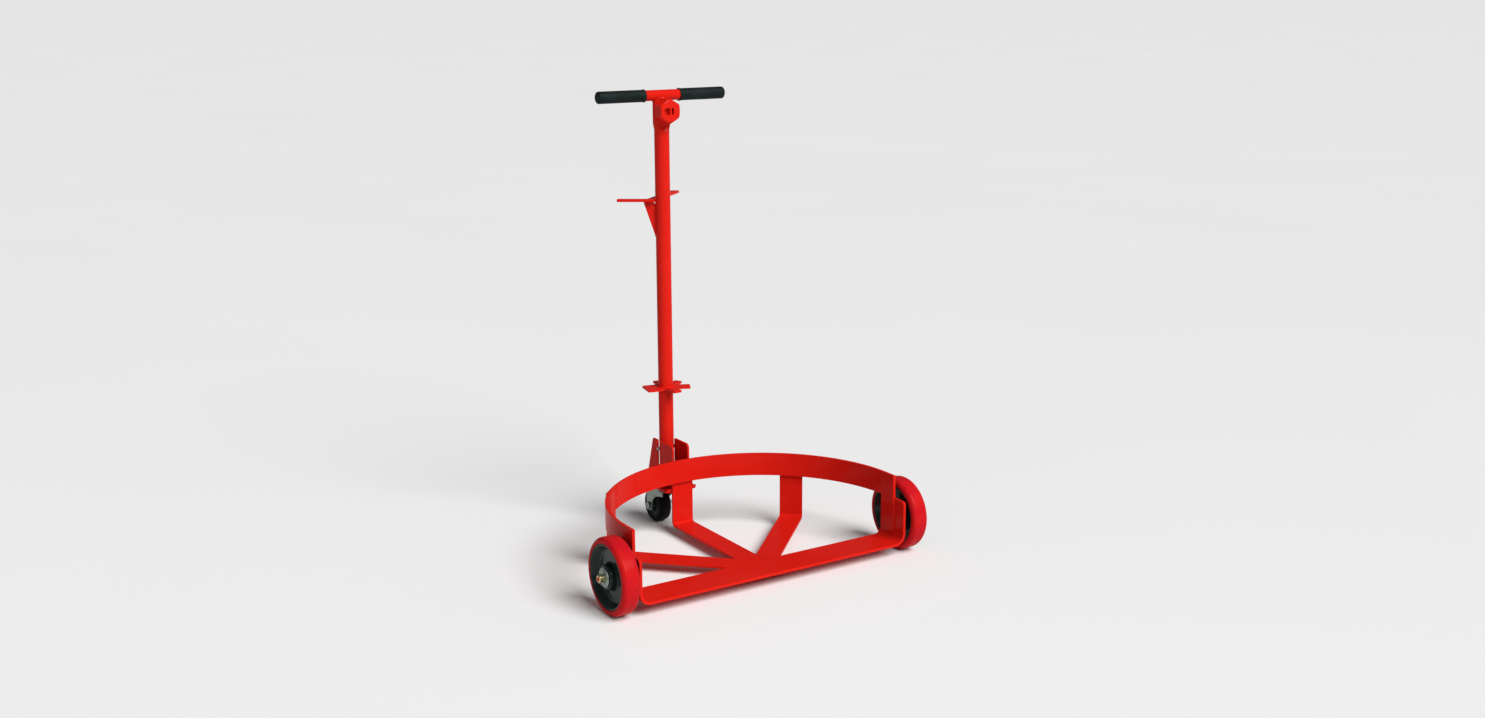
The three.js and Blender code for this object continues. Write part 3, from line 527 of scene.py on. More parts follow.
def carved(mesh, cutters):
    """The mesh with the cutter meshes taken away."""
    for cutter_mesh in cutters:
        body = bpy.data.objects.new("carve", mesh)
        cutter = bpy.data.objects.new("cutter", cutter_mesh)
        for item in (body, cutter):
            bpy.context.scene.collection.objects.link(item)
        modifier = body.modifiers.new("cut", "BOOLEAN")
        modifier.object = cutter
        modifier.operation = "DIFFERENCE"
        modifier.solver = "EXACT"
        graph = bpy.context.evaluated_depsgraph_get()
        result = bpy.data.meshes.new_from_object(body.evaluated_get(graph))
        bpy.data.objects.remove(body)
        bpy.data.objects.remove(cutter)
        bpy.data.meshes.remove(mesh)
        bpy.data.meshes.remove(cutter_mesh)
        mesh = result
    clean(mesh, 0.005 * MM)
    return mesh


def weld(name, points, body, radius=2.0, closed=False):
    """A painted weld bead."""
    mesh = sweep_mesh(points, radius, sides=10, closed=closed, ripple=0.16, pitch=3.2)
    return add_piece(name, mesh, PAINT, body, sharp=80.0)


# ---------------------------------------------------------------- base frame


def build_ring_band():
    outer = [(RING_OUTER, BAND_END_Y)] + arc((0, RING_Y), RING_OUTER, 0, 180, 144)
    inner = arc((0, RING_Y), RING_RADIUS, 180, 0, 144)
    loop = outer + [(-RING_OUTER, BAND_END_Y), (-RING_RADIUS, BAND_END_Y)] + inner
    loop.append((RING_RADIUS, BAND_END_Y))
    mesh = plate_mesh([loop], BAND_TOP - BAND_BOTTOM, flat_at(BAND_BOTTOM), bevel=0.9)
    add_piece("ring_band_detail", mesh, PAINT, "frame", ["ring_band"])


def build_front_bar():
    bend_x = TAB_INNER - BAR_BEND
    floor = BAR_UNDERSIDE + STRAP
    bend_z = floor + BAR_BEND
    outer = BAR_BEND + STRAP
    loop = [(-TAB_OUTER, TAB_TOP)]
    loop += arc((-bend_x, bend_z), outer, 180, 270, 16)
    loop += arc((bend_x, bend_z), outer, 270, 360, 16)
    loop += [(TAB_OUTER, TAB_TOP), (TAB_INNER, TAB_TOP)]
    loop += arc((bend_x, bend_z), BAR_BEND, 0, -90, 16)
    loop += arc((-bend_x, bend_z), BAR_BEND, 270, 180, 16)
    loop.append((-TAB_INNER, TAB_TOP))
    width = BAR_REAR_Y - BAR_FRONT_Y
    mesh = plate_mesh([loop], width, facing_y(BAR_REAR_Y), bevel=0.9)
    y, z = BAR_FRONT_Y + TAB_CORNER, TAB_TOP - TAB_CORNER
    corner = [(BAR_FRONT_Y - 2, TAB_TOP + 2), (BAR_FRONT_Y - 2, z)]
    corner += arc((y, z), TAB_CORNER, 180, 90, 12)
    corner.append((y, TAB_TOP + 2))
    cutter = plate_mesh([corner], 2 * TAB_OUTER + 8, facing_x(-TAB_OUTER - 4), bevel=0.01)
    add_piece("front_bar_detail", carved(mesh, [cutter]), PAINT, "frame", ["front_bar"])


def build_end_legs():
    bend_x = TAB_INNER - BAR_BEND
    bend_z = BAR_UNDERSIDE + STRAP + BAR_BEND
    foot_in = bend_z - math.sqrt(BAR_BEND**2 - (RING_RADIUS - bend_x) ** 2) + 2 * GAP
    outer = RING_RADIUS + LEG_THICK
    foot_out = bend_z - math.sqrt(BAR_BEND**2 - (outer - bend_x) ** 2) + 2 * GAP
    for side, sign in SIDES:
        loop = [(RING_RADIUS, foot_in), (outer, foot_out), (outer, TAB_TOP), (RING_RADIUS, TAB_TOP)]
        loop = [(sign * x, z) for x, z in loop]
        mesh = plate_mesh([loop], LEG_REAR_Y - BAND_END_Y, facing_y(LEG_REAR_Y), bevel=0.5)
        add_piece(f"{side}_end_leg_detail", mesh, PAINT, "frame", [f"{side}_end_leg"])
        x, y = sign * (RING_RADIUS + 2.2), BAND_END_Y - 0.8
        weld(f"{side}_leg_weld", line((x, y, 50), (x, y, 116)), "frame", 1.7)
        x, y = sign * (RING_RADIUS + 0.8), BAND_END_Y + 2
        weld(f"{side}_leg_top_weld", line((x, y, 118), (x, LEG_REAR_Y - 2, 118)), "frame", 1.3)
        x = sign * (RING_OUTER + 1.2)
        weld(f"{side}_tab_weld", line((x, y, 118.4), (x, BAR_REAR_Y - 2, 118.4)), "frame", 2.0)


def spoke_loop(start):
    back = SPOKE_FACE + SPOKE_THICK
    under = SPOKE_TOP - SPOKE_THICK
    outer = SPOKE_BEND + SPOKE_THICK
    loop = [(start, under)]
    loop += arc((back - outer, under + outer), outer, -90, 0, 12)
    loop += [(back, SPOKE_HEAD), (SPOKE_FACE, SPOKE_HEAD)]
    loop += arc((SPOKE_FACE - SPOKE_BEND, SPOKE_TOP + SPOKE_BEND), SPOKE_BEND, 0, -90, 12)
    loop.append((start, SPOKE_TOP))
    return loop


def spoke_mesh(angle, start):
    mesh = plate_mesh([spoke_loop(start)], SPOKE_WIDTH, facing_y(SPOKE_WIDTH / 2), bevel=0.8)
    turn = Matrix.Translation((0, RING_Y, 0)) @ Matrix.Rotation(math.radians(angle), 4, "Z")
    mesh.transform(IN_FRAME @ turn @ IN_FRAME.inverted())
    return mesh


def build_spokes():
    add_piece("centre_spoke_detail", spoke_mesh(90, -CENTRE_SPOKE_REACH), PAINT, "frame", ["centre_spoke"])
    for side, sign in SIDES:
        edge = SPOKE_WIDTH / 2 + GAP
        low, high = (-300, edge) if sign > 0 else (-edge, 300)
        trim = [(low, -300), (high, -300), (high, 300), (low, 300)]
        cutter = plate_mesh([trim], 16, flat_at(14), bevel=0.01)
        angle = 45 if sign > 0 else 135
        mesh = carved(spoke_mesh(angle, 0), [cutter])
        add_piece(f"{side}_spoke_detail", mesh, PAINT, "frame", [f"{side}_spoke"])
    for label, angle in (("right", 45), ("centre", 90), ("left", 135)):
        turn = Matrix.Rotation(math.radians(angle), 4, "Z")
        for end in (-1, 1):
            across = end * (SPOKE_WIDTH / 2 + 0.4)
            radial = math.sqrt(RING_OUTER**2 - across**2) + 0.5
            points = []
            for z in range(122, 161):
                spot = turn @ Vector((radial, across, 0))
                points.append((spot.x, spot.y + RING_Y, float(z)))
            weld(f"{label}_spoke_weld_{1 if end < 0 else 2}", points, "frame", 1.9)
        points = []
        for step in range(0, 73):
            across = -SPOKE_WIDTH / 2 + 3 + step * (SPOKE_WIDTH - 6) / 72
            spot = turn @ Vector((math.sqrt(RING_OUTER**2 - across**2) - 0.5, across, 0))
            points.append((spot.x, spot.y + RING_Y, BAND_BOTTOM - 0.6))
        weld(f"{label}_spoke_under_weld", points, "frame", 1.6)
    rear = BAR_REAR_Y + 0.6
    z = SPOKE_TOP + 1.0
    weld("centre_spoke_bar_weld", line((-24, rear, z), (24, rear, z)), "frame", 2.0)
    for side, sign in SIDES:
        weld(f"{side}_spoke_bar_weld", line((sign * 27, rear, z), (sign * 46, rear, z)), "frame", 1.8)


# ---------------------------------------------------------------- bracket and ears


def build_bracket():
    half, corner = BRACKET_HALF_X, BRACKET_CORNER
    front, rear = BRACKET_FRONT_Y, BRACKET_REAR_Y
    loop = arc((half - corner, front + corner), corner, -90, 0)
    loop += arc((half - corner, rear - corner), corner, 0, 90)
    loop += arc((-half + corner, rear - corner), corner, 90, 180)
    loop += arc((-half + corner, front + corner), corner, 180, 270)
    holes = [arc(centre, BOLT_RADIUS + GAP, 360, 15, 23) for centre in CASTER_BOLTS]
    mesh = plate_mesh([loop, *holes], BRACKET_TOP - BRACKET_BOTTOM, flat_at(BRACKET_BOTTOM), bevel=0.7)
    add_piece("bracket_plate_detail", mesh, PAINT, "frame", ["bracket_plate"])
    slot_front, slot_rear = POST_Y - SLOT_WIDTH / 2, POST_Y + SLOT_WIDTH / 2
    foot = BRACKET_TOP + GAP
    for side, sign in SIDES:
        ear = [(front, foot), (438.5, foot)]
        ear += arc((409.0, EAR_TOP - 2.5), 2.5, 20, 90, 5)
        ear.append((slot_rear + 1, EAR_TOP))
        ear += [(slot_rear, EAR_TOP - 1)]
        ear += arc((POST_Y, SLOT_BOTTOM + SLOT_WIDTH / 2), SLOT_WIDTH / 2, 0, -180, 16)
        ear += [(slot_front, EAR_TOP - 1), (slot_front - 1, EAR_TOP)]
        ear += arc((front + 10, EAR_TOP - 10), 10.0, 90, 180, 12)
        x = EAR_INNER_X if sign > 0 else -EAR_INNER_X - EAR_THICK
        mesh = plate_mesh([ear], EAR_THICK, facing_x(x), bevel=0.6)
        add_piece(f"{side}_ear_detail", mesh, PAINT, "frame", [f"{side}_ear"])
        outside = sign * (EAR_INNER_X + EAR_THICK + 1.0)
        z = BRACKET_TOP + 1.0
        weld(f"{side}_ear_foot_weld", line((outside, 378, z), (outside, 421, z)), "frame", 1.8)
        x, y = outside - sign, front + 0.6
        weld(f"{side}_ear_front_weld", line((x, y, z), (x, y, 158)), "frame", 1.8)
    reach = POST_RADIUS + 2 * GAP
    half = EAR_INNER_X - GAP
    for label, y in (("front", POST_Y - reach - STOP_THICK), ("rear", POST_Y + reach)):
        loop = [(-half, y), (half, y), (half, y + STOP_THICK), (-half, y + STOP_THICK)]
        mesh = plate_mesh([loop], STOP_HEIGHT, flat_at(foot), bevel=0.8)
        add_piece(f"{label}_foot_stop_detail", mesh, PAINT, "frame", [f"{label}_foot_stop"])
    z = BRACKET_TOP + 0.8
    weld("bracket_front_weld", line((-36, front + 0.4, z), (36, front + 0.4, z)), "frame", 1.8)
    z = BRACKET_BOTTOM - 0.6
    weld("bracket_under_weld", line((-24, front, z), (24, front, z)), "frame", 1.8)


# ---------------------------------------------------------------- front wheels


def tread_profile(inner, outer, width, round_radius, steps=12):
    half = width / 2
    edge, rise = half - round_radius, outer - round_radius
    shoulders = arc((-edge, rise), round_radius, 180, 90, steps)
    shoulders += arc((edge, rise), round_radius, 90, 0, steps)
    points = [(inner, -half)] + [(radius, along) for along, radius in shoulders]
    points += [(inner, half), (inner, -half)]
    return points


def core_profile():
    """Half the core's outline from the bore outwards on one side, mirrored to the other."""
    hub = WHEEL_WIDTH / 2 + 0.7
    rim = WHEEL_WIDTH / 2 - 0.5
    side = [(11.4, hub - 0.8), (12.2, hub), (21.4, hub), (22.6, hub - 0.5), (23.5, hub - 1.7)]
    side += [(24.4, hub - 4.5), (25.0, 10.0), (25.8, 6.8), (27.4, 4.9), (30.0, 4.1), (47.0, 4.1)]
    side += [(49.6, 4.6), (51.8, 6.0), (53.2, 8.2), (59.4, rim - 2.4), (60.2, rim - 0.8), (61.2, rim - 0.1)]
    side += [(62.4, rim), (63.5, rim - 0.4), (64.0, rim - 1.2)]
    other = [(r, -a) for r, a in reversed(side)]
    return side + other + [side[0]]


def build_front_wheels():
    for side, sign in SIDES:
        body = f"{side}_wheel"
        middle = along_x(sign * WHEEL_MID_X, 0, AXLE_Z, sign)
        mesh = turned_mesh(tread_profile(CORE_RADIUS + GAP, WHEEL_RADIUS, WHEEL_WIDTH, 9.5), middle, 160)
        add_piece(f"{side}_tread_detail", mesh, TREAD, body, [f"{side}_wheel_tread"], sharp=50)
        mesh = turned_mesh(core_profile(), middle, 144)
        add_piece(f"{side}_core_detail", mesh, CORE, body, [f"{side}_wheel_core"], sharp=40)
        bush = [(8.3, -19.2), (8.8, -19.7), (10.6, -19.7), (11.0, -19.3), (11.0, 19.3)]
        bush += [(10.6, 19.7), (8.8, 19.7), (8.3, 19.2), (8.3, -19.2)]
        add_piece(f"{side}_bush_detail", turned_mesh(bush, middle, 64), YELLOW, body, [f"{side}_wheel_bush"])
        outward = along_x(0, 0, AXLE_Z, sign)
        spacer = [(8.3, 314.6), (13.0, 314.6), (13.0, 319.1), (12.6, 319.5), (8.3, 319.5), (8.3, 314.6)]
        mesh = turned_mesh(spacer, outward, 48)
        add_piece(f"{side}_spacer_detail", mesh, ZINC, "frame", [f"{side}_spacer"])
        end = AXLE_END_X
        stub = [(0, 308.4), (8.0, 308.4), (8.0, end - 2.2), (7.7, end - 1.5), (6.9, end - 0.7)]
        stub += [(6.0, end - 0.4), (5.2, end - 0.5), (0, end - 0.6)]
        dab = [(0, end - 1), (4.4, end - 1), (4.4, end - 0.3), (3.8, end - 0.1), (0, end - 0.05)]
        add_piece(f"{side}_axle_paint", turned_mesh(dab, outward, 40), PAINT, "frame")
        stub_mesh = turned_mesh(stub, outward, 64)
        upright = Matrix.Translation((sign * COTTER_X, 0, AXLE_Z))
        hole = turned_mesh([(0, -12), (1.9, -12), (1.9, 12), (0, 12)], upright, 20)
        add_piece(f"{side}_axle_detail", carved(stub_mesh, [hole]), YELLOW, "frame", [f"{side}_axle"])
        washer = [(8.3, 359.5), (8.3, 362.6), (8.8, 363.0), (15.2, 363.0), (15.8, 362.4), (16.4, 361.6)]
        washer += [(18.2, 361.4), (18.8, 361.0), (19.0, 360.4), (19.0, 359.8), (18.7, 359.5), (8.3, 359.5)]
        mesh = turned_mesh(washer, outward, 64)
        add_piece(f"{side}_washer_detail", mesh, ZINC, "frame", [f"{side}_axle_washer"])
        build_cotter(side, sign)


def build_cotter(side, sign):
    """A split pin bent from half-round wire: eye on top, two legs spread below."""
    x = sign * COTTER_X
    top = AXLE_Z + AXLE_RADIUS
    eye = [(x, y, z) for y, z in arc((0, top + 4.4), 2.6, -60, 240, 28)]
    legs = []
    under = AXLE_Z - AXLE_RADIUS
    run = ((0.75, top - 1.0), (0.7, under - 0.5), (1.4, under - 2.2), (2.4, under - 4.6))
    for direction in (-1, 1):
        legs.append(sweep_mesh([(x, direction * y, z) for y, z in run], 0.72, sides=8))
    neck = [eye[-1], (x, -0.9, top + 1.2), (x, -0.75, top - 1.0)]
    start = [(x, 0.75, top - 1.0), (x, 0.9, top + 1.2), eye[0]]
    loop = sweep_mesh(start[:-1] + eye + neck[1:], 0.78, sides=8)
    add_piece(f"{side}_cotter_detail", joined([loop, *legs]), ZINC, "frame", [f"{side}_cotter_pin"], sharp=60)


# ---------------------------------------------------------------- caster


def hexagon(flats, turn=0.0):
    corner = flats / math.sqrt(3)
    angles = [math.radians(turn + 60 * i) for i in range(6)]
    return [(corner * math.cos(angle), corner * math.sin(angle)) for angle in angles]


def hex_mesh(flats, height, placing):
    """A hexagon with turned-off corners, as on a nut or a bolt's head."""
    mesh = plate_mesh([hexagon(flats)], height, placing, bevel=0.25)
    inside, outside, above = flats / 2 - 0.2, flats / math.sqrt(3) + 1, height + 0.1
    ring = [(inside, above), (outside, above), (outside, height - 1.4), (inside, above)]
    return carved(mesh, [turned_mesh(ring, placing, 48)])


def thread(radius, start, end, placing, pitch=1.25):
    """A bolt's end with thread grooves."""
    profile = [(0, start), (radius, start)]
    along = start + 0.4
    while along + pitch < end - 0.8:
        profile += [(radius, along), (radius - 0.5, along + pitch / 2)]
        along += pitch
    profile += [(radius, along), (radius, end - 1.0), (radius - 1.0, end), (0, end)]
    return turned_mesh(profile, placing, 32)


def build_caster_mount():
    half_x, half_y, corner = CASTER_PLATE_HALF_X, CASTER_PLATE_HALF_Y, CASTER_PLATE_CORNER
    top, thick = CASTER_PLATE_TOP, CASTER_PLATE_THICK
    loop = arc((half_x - corner, CASTER_Y - half_y + corner), corner, -90, 0, 6)
    loop += arc((half_x - corner, CASTER_Y + half_y - corner), corner, 0, 90, 6)
    loop += arc((-half_x + corner, CASTER_Y + half_y - corner), corner, 90, 180, 6)
    loop += arc((-half_x + corner, CASTER_Y - half_y + corner), corner, 180, 270, 6)
    mesh = plate_mesh([loop], thick, flat_at(top - thick), bevel=0.5)
    add_piece("caster_top_plate_detail", mesh, ZINC, "frame", ["caster_top_plate"])
    swivel = flat_at(0, 0, CASTER_Y)
    low, high = YOKE_TOP + GAP, top - thick - GAP
    race = [(7.3, low), (22.0, low), (24.4, low + 0.6), (25.0, low + 1.6), (24.6, low + 2.8)]
    race += [(23.4, low + 3.3), (23.0, low + 4.2), (22.0, high - 0.4), (21.4, high), (7.3, high), (7.3, low)]
    add_piece("caster_race_detail", turned_mesh(race, swivel, 80), ZINC, "frame", ["caster_race"])
    head = YOKE_TOP - YOKE_THICK - GAP
    pin = [(0, head - 5), (7.0, head - 5), (9.0, head - 4.2), (10.0, head - 2.4), (10.0, head)]
    pin += [(7.0, head), (7.0, top), (0, top)]
    add_piece("caster_kingpin_detail", turned_mesh(pin, swivel, 48), ZINC, "frame", ["caster_kingpin"])
    for number, (x, y) in enumerate(CASTER_BOLTS, 1):
        placing = axes((x, y, high), (1, 0, 0), (0, -1, 0), (0, 0, -1))
        bolt = [hex_mesh(NUT_FLATS, HEAD_HEIGHT, placing)]
        bolt.append(thread(BOLT_RADIUS, -1, BRACKET_TOP + 9.3 - high, flat_at(high, x, y)))
        add_piece(f"caster_bolt_{number}_detail", joined(bolt), ZINC, "frame", [f"caster_bolt_{number}"])
        nut = hex_mesh(NUT_FLATS, NUT_HEIGHT, flat_at(BRACKET_TOP + GAP, x, y))
        add_piece(f"caster_nut_{number}_detail", nut, ZINC, "frame", [f"caster_nut_{number}"])


def build_caster_fork():
    axle_y = CASTER_Y + CASTER_LEAD
    rear, front = CASTER_Y + YOKE_REAR, CASTER_Y - YOKE_FRONT
    leg = [(front + 2, YOKE_TOP - 0.2), (front, YOKE_TOP - 2.5), (front, YOKE_TOP - 10)]
    tip = arc((axle_y, CASTER_RADIUS), FORK_END_RADIUS, 162, 360, 24)
    start, bend, end = Vector((front, YOKE_TOP - 13)), Vector((axle_y - 13, YOKE_TOP - 17)), Vector(tip[0])
    leg += [tuple(start.lerp(bend, i / 12).lerp(bend.lerp(end, i / 12), i / 12)) for i in range(12)]
    leg += tip + [(rear - 0.5, 58), (rear, YOKE_TOP - 12), (rear - 2, YOKE_TOP - 6)]
    leg += [(rear - 6, YOKE_TOP - 1), (rear - 8, YOKE_TOP - 0.2)]
    parts = []
    for x in (-YOKE_HALF_X, YOKE_HALF_X - YOKE_THICK):
        parts.append(plate_mesh([leg], YOKE_THICK, facing_x(x), bevel=0.5))
    crown = [(-YOKE_HALF_X + 0.2, YOKE_TOP - 6)]
    crown += arc((-YOKE_HALF_X + 4.2, YOKE_TOP - 4), 4.0, 180, 90, 8)
    crown += arc((YOKE_HALF_X - 4.2, YOKE_TOP - 4), 4.0, 90, 0, 8)
    crown += [(YOKE_HALF_X - 0.2, YOKE_TOP - 6), (YOKE_HALF_X - 2.6, YOKE_TOP - 6)]
    crown += [(YOKE_HALF_X - 4.6, YOKE_TOP - YOKE_THICK), (-YOKE_HALF_X + 4.6, YOKE_TOP - YOKE_THICK)]
    crown.append((-YOKE_HALF_X + 2.6, YOKE_TOP - 6))
    top = plate_mesh([crown], rear - 8 - front, facing_y(rear - 8), bevel=0.4)
    bore = [(0, YOKE_TOP - 8), (7.3, YOKE_TOP - 8), (7.3, YOKE_TOP + 2), (0, YOKE_TOP + 2)]
    parts.append(carved(top, [turned_mesh(bore, flat_at(0, 0, CASTER_Y), 48)]))
    add_piece("caster_yoke_detail", joined(parts), ZINC, "caster_fork", ["caster_yoke"])
    side = YOKE_HALF_X + GAP
    head = [hex_mesh(CASTER_AXLE_FLATS, HEAD_HEIGHT, along_x(-side, axle_y, CASTER_RADIUS, -1))]
    head.append(thread(5.0, -side - 1, side + 11, along_x(0, axle_y, CASTER_RADIUS)))
    add_piece("caster_axle_bolt_detail", joined(head), ZINC, "caster_fork", ["caster_axle_bolt"])
    nut = hex_mesh(CASTER_AXLE_FLATS, 8, along_x(side, axle_y, CASTER_RADIUS))
    add_piece("caster_axle_nut_detail", nut, ZINC, "caster_fork", ["caster_axle_nut"])


def build_caster_wheel():
    middle = along_x(0, CASTER_Y + CASTER_LEAD, CASTER_RADIUS)
    half = CASTER_WIDTH / 2
    side = [(7.3, half + 1), (12.4, half + 1), (13.2, half + 0.4), (14.0, half - 4), (15.2, half - 5)]
    side += [(19.0, half - 5), (20.4, half - 4.2), (21.8, half - 1.4), (23.0, half - 1), (24.0, half - 1.4)]
    other = [(r, -a) for r, a in reversed(side)]
    mesh = turned_mesh(side + other + [side[0]], middle, 80)
    add_piece("caster_core_detail", mesh, CORE, "caster_wheel", ["caster_wheel_core"])
    mesh = turned_mesh(tread_profile(CASTER_CORE_RADIUS + GAP, CASTER_RADIUS, CASTER_WIDTH, 8.5), middle, 120)
    add_piece("caster_tyre_detail", mesh, TYRE, "caster_wheel", ["caster_wheel_tyre"], sharp=50)
    end = YOKE_HALF_X - YOKE_THICK - GAP
    bush = [(5.3, -end), (6.6, -end), (7.0, -end + 0.4), (7.0, end - 0.4), (6.6, end), (5.3, end)]
    mesh = turned_mesh(bush + [bush[0]], middle, 40)
    add_piece("caster_bush_detail", mesh, YELLOW, "caster_wheel", ["caster_wheel_bush"])


# ---------------------------------------------------------------- handle


def smooth(value):
    value = min(1.0, max(0.0, value))
    return value * value * (3 - 2 * value)


def post_mesh():
    """The round post with its top pressed to a flattened oval, dished on both faces."""
    top = T_BAR_Z - 3
    levels = [POST_FOOT, POST_FOOT + 1.0, 400.0, 700.0, 840.0]
    levels += [850.0 + 2.0 * i for i in range(28)]
    levels += [z for z in (908.0, 912.0, 916.0, 920.0, 924.0, 928.0, 932.0, top)]
    steps = 72
    rows = []
    for z in levels:
        row = []
        chamfer = 0.8 if z == POST_FOOT else 0.0
        for step in range(steps):
            angle = 2 * math.pi * step / steps
            c, s = math.cos(angle), math.sin(angle)
            late = 10.0 * abs(c)
            press = smooth((z - FLAT_START_Z + 6 - late) / (FLAT_FULL_Z - FLAT_START_Z))
            taper = smooth((z - 918.0) / 14.0)
            half_x = POST_RADIUS + (FLAT_HALF_X - POST_RADIUS) * press - 0.6 * taper
            half_y = POST_RADIUS + (FLAT_HALF_Y - POST_RADIUS) * press - 2.0 * taper
            squareness = 1.0 + 0.35 * press
            x = math.copysign(abs(c) ** (1 / squareness), c) * (half_x - chamfer)
            y = math.copysign(abs(s) ** (1 / squareness), s) * (half_y - chamfer)
            dish = 1.6 * press * (1 - taper) * max(0.0, 1 - (x / (0.72 * half_x)) ** 2)
            row.append((x, y - math.copysign(dish, y) * (1 if abs(y) > 4 else 0), z))
        rows.append(row)
    verts = [(x, y + POST_Y, z) for row in rows for x, y, z in row]
    faces = []
    for level in range(len(rows) - 1):
        for step in range(steps):
            other = (step + 1) % steps
            a, b = level * steps, (level + 1) * steps
            faces.append((a + step, a + other, b + other, b + step))
    faces.append(tuple(range(steps - 1, -1, -1)))
    faces.append(tuple(range((len(rows) - 1) * steps, len(rows) * steps)))
    mesh = bpy.data.meshes.new("post")
    mesh.from_pydata(verts, [], faces)
    mesh.transform(IN_FRAME)
    clean(mesh, 0.001 * MM)
    return mesh


def build_post():
    bore = turned_mesh([(0, 90.0), (12.9, 90.0), (12.9, 820.0), (0, 820.0)], flat_at(0, 0, POST_Y), 64)
    mesh = carved(post_mesh(), [bore])
    add_piece("post_detail", mesh, PAINT, "handle", ["post"], sharp=60)
    end = PIN_HALF
    pin = [(0, -end), (3.2, -end), (4.0, 0.8 - end), (4.0, end - 0.8), (3.2, end), (0, end)]
    mesh = turned_mesh(pin, along_x(0, POST_Y, PIN_Z), 40)
    add_piece("cross_pin_detail", mesh, ZINC, "handle", ["cross_pin"])
    for side, sign in SIDES:
        ring = [(sign * 15.0, POST_Y + y, PIN_Z + z) for y, z in arc((0, 0), 4.6, 0, 345, 46)]
        weld(f"{side}_pin_weld", ring, "handle", 0.9, closed=True)


def build_t_bar():
    end = T_BAR_HALF
    bar = [(9.1, -end), (11.1, -end), (11.1, end), (9.1, end), (9.1, -end)]
    add_piece("t_bar_detail", turned_mesh(bar, along_x(0, POST_Y, T_BAR_Z), 80), PAINT, "handle", ["t_bar"])
    seam = []
    for step in range(96):
        angle = 2 * math.pi * step / 96
        x, y = (FLAT_HALF_X - 0.2) * math.cos(angle), 10.6 * math.sin(angle)
        drop = math.sqrt(max(0.0, (T_BAR_RADIUS + 0.4) ** 2 - y * y))
        seam.append((x, POST_Y + y, T_BAR_Z - drop - 0.6))
    weld("t_bar_weld", seam, "handle", 2.3, closed=True)


def grip_profile():
    bore = T_BAR_RADIUS + GAP
    start, end = GRIP_INNER_X, GRIP_OUTER_X
    collar = GRIP_RADIUS + 0.9
    points = [(bore, start), (collar - 0.9, start), (collar, start + 0.9), (collar, start + 2.6)]
    points += [(collar - 0.5, start + 3.4), (GRIP_RADIUS, start + 4.4)]
    along = start + 14
    while along < end - 14:
        points += [(GRIP_RADIUS, along), (GRIP_RADIUS - 0.35, along + 0.7), (GRIP_RADIUS, along + 1.4)]
        along += 6.0
    points += [(r, a) for a, r in arc((end - 4.5, GRIP_RADIUS - 4.5), 4.5, 90, 0, 10)]
    points += [(4.0, end), (3.4, end - 0.7), (0, end - 0.9), (0, T_BAR_HALF + GAP), (bore, T_BAR_HALF + GAP)]
    points.append((bore, start))
    return points


def build_grips():
    for side, sign in SIDES:
        placing = along_x(0, POST_Y, T_BAR_Z, sign)
        mesh = turned_mesh(grip_profile(), placing, 88)
        add_piece(f"{side}_grip_detail", mesh, RUBBER, "handle", [f"{side}_grip"], sharp=45)


def build_hex_wrench():
    """Hexagon head with a chamfered rim and two pockets in its face."""
    depth = HEX_REAR_Y - HEX_FRONT_Y
    block = plate_mesh([hexagon(HEX_FLATS, 30)], depth, facing_y(HEX_REAR_Y), bevel=0.5)
    block.transform(Matrix.Translation((0, 0, HEX_Z * MM)))
    inside, outside, face = HEX_FLATS / 2 - 1.8, HEX_FLATS / math.sqrt(3) + 2, -HEX_FRONT_Y
    ring = [(inside, face + 0.2), (outside, face + 0.2), (outside, face - 4.4), (inside, face + 0.2)]
    placing = axes((0, 0, HEX_Z), (1, 0, 0), (0, 0, 1), (0, -1, 0))
    cutters = [turned_mesh(ring, placing, 96)]
    pocket = arc((-8.2, HEX_Z), 7.0, 90, 270, 16) + [(-1.2, HEX_Z - 7.0), (-1.2, HEX_Z + 7.0)]
    slot = arc((5.0, HEX_Z + 4.6), 2.6, 0, 180, 10) + arc((5.0, HEX_Z - 4.6), 2.6, 180, 360, 10)
    for loop, deep in ((pocket, 9.0), (slot, 13.0)):
        cutters.append(plate_mesh([loop], deep + 4, facing_y(HEX_FRONT_Y + deep), bevel=0.02))
    mesh = carved(block, cutters)
    add_piece("hex_wrench_detail", mesh, PAINT, "handle", ["hex_wrench"], sharp=22)
    corners = [(-HEX_FLATS / 2 + 6, -12), (-12, -19), (0, -25), (12, -19), (HEX_FLATS / 2 - 6, -12)]
    back = [Vector((x, HEX_REAR_Y + 0.4, HEX_Z + z)) for x, z in corners]
    bead = []
    for a, b in zip(back, back[1:]):
        bead += line(a, b)[:-1]
    weld("hex_weld", bead, "handle", 1.8)


def round_corners(points, radius, steps=4):
    """An outline with each corner cut to a small round."""
    result = []
    count = len(points)
    for i, point in enumerate(points):
        here = Vector(point)
        before = Vector(points[i - 1]) - here
        after = Vector(points[(i + 1) % count]) - here
        reach = min(radius, before.length * 0.4, after.length * 0.4)
        a, b = here + before.normalized() * reach, here + after.normalized() * reach
        for step in range(steps + 1):
            t = step / steps
            spot = a.lerp(here, t).lerp(here.lerp(b, t), t)
            result.append((spot.x, spot.y))
    return result


HOOK_OUTLINE = [(-25.3, -4.3), (99, 100), (84, 110), (-30.4, 13.6), (-82.3, 48.9), (-89, 39)]
STAR_LOBES = [(-88, 52, 10), (-25, 55, 12), (30, 58, 9), (80, 58, 10), (169, 48, 23)]


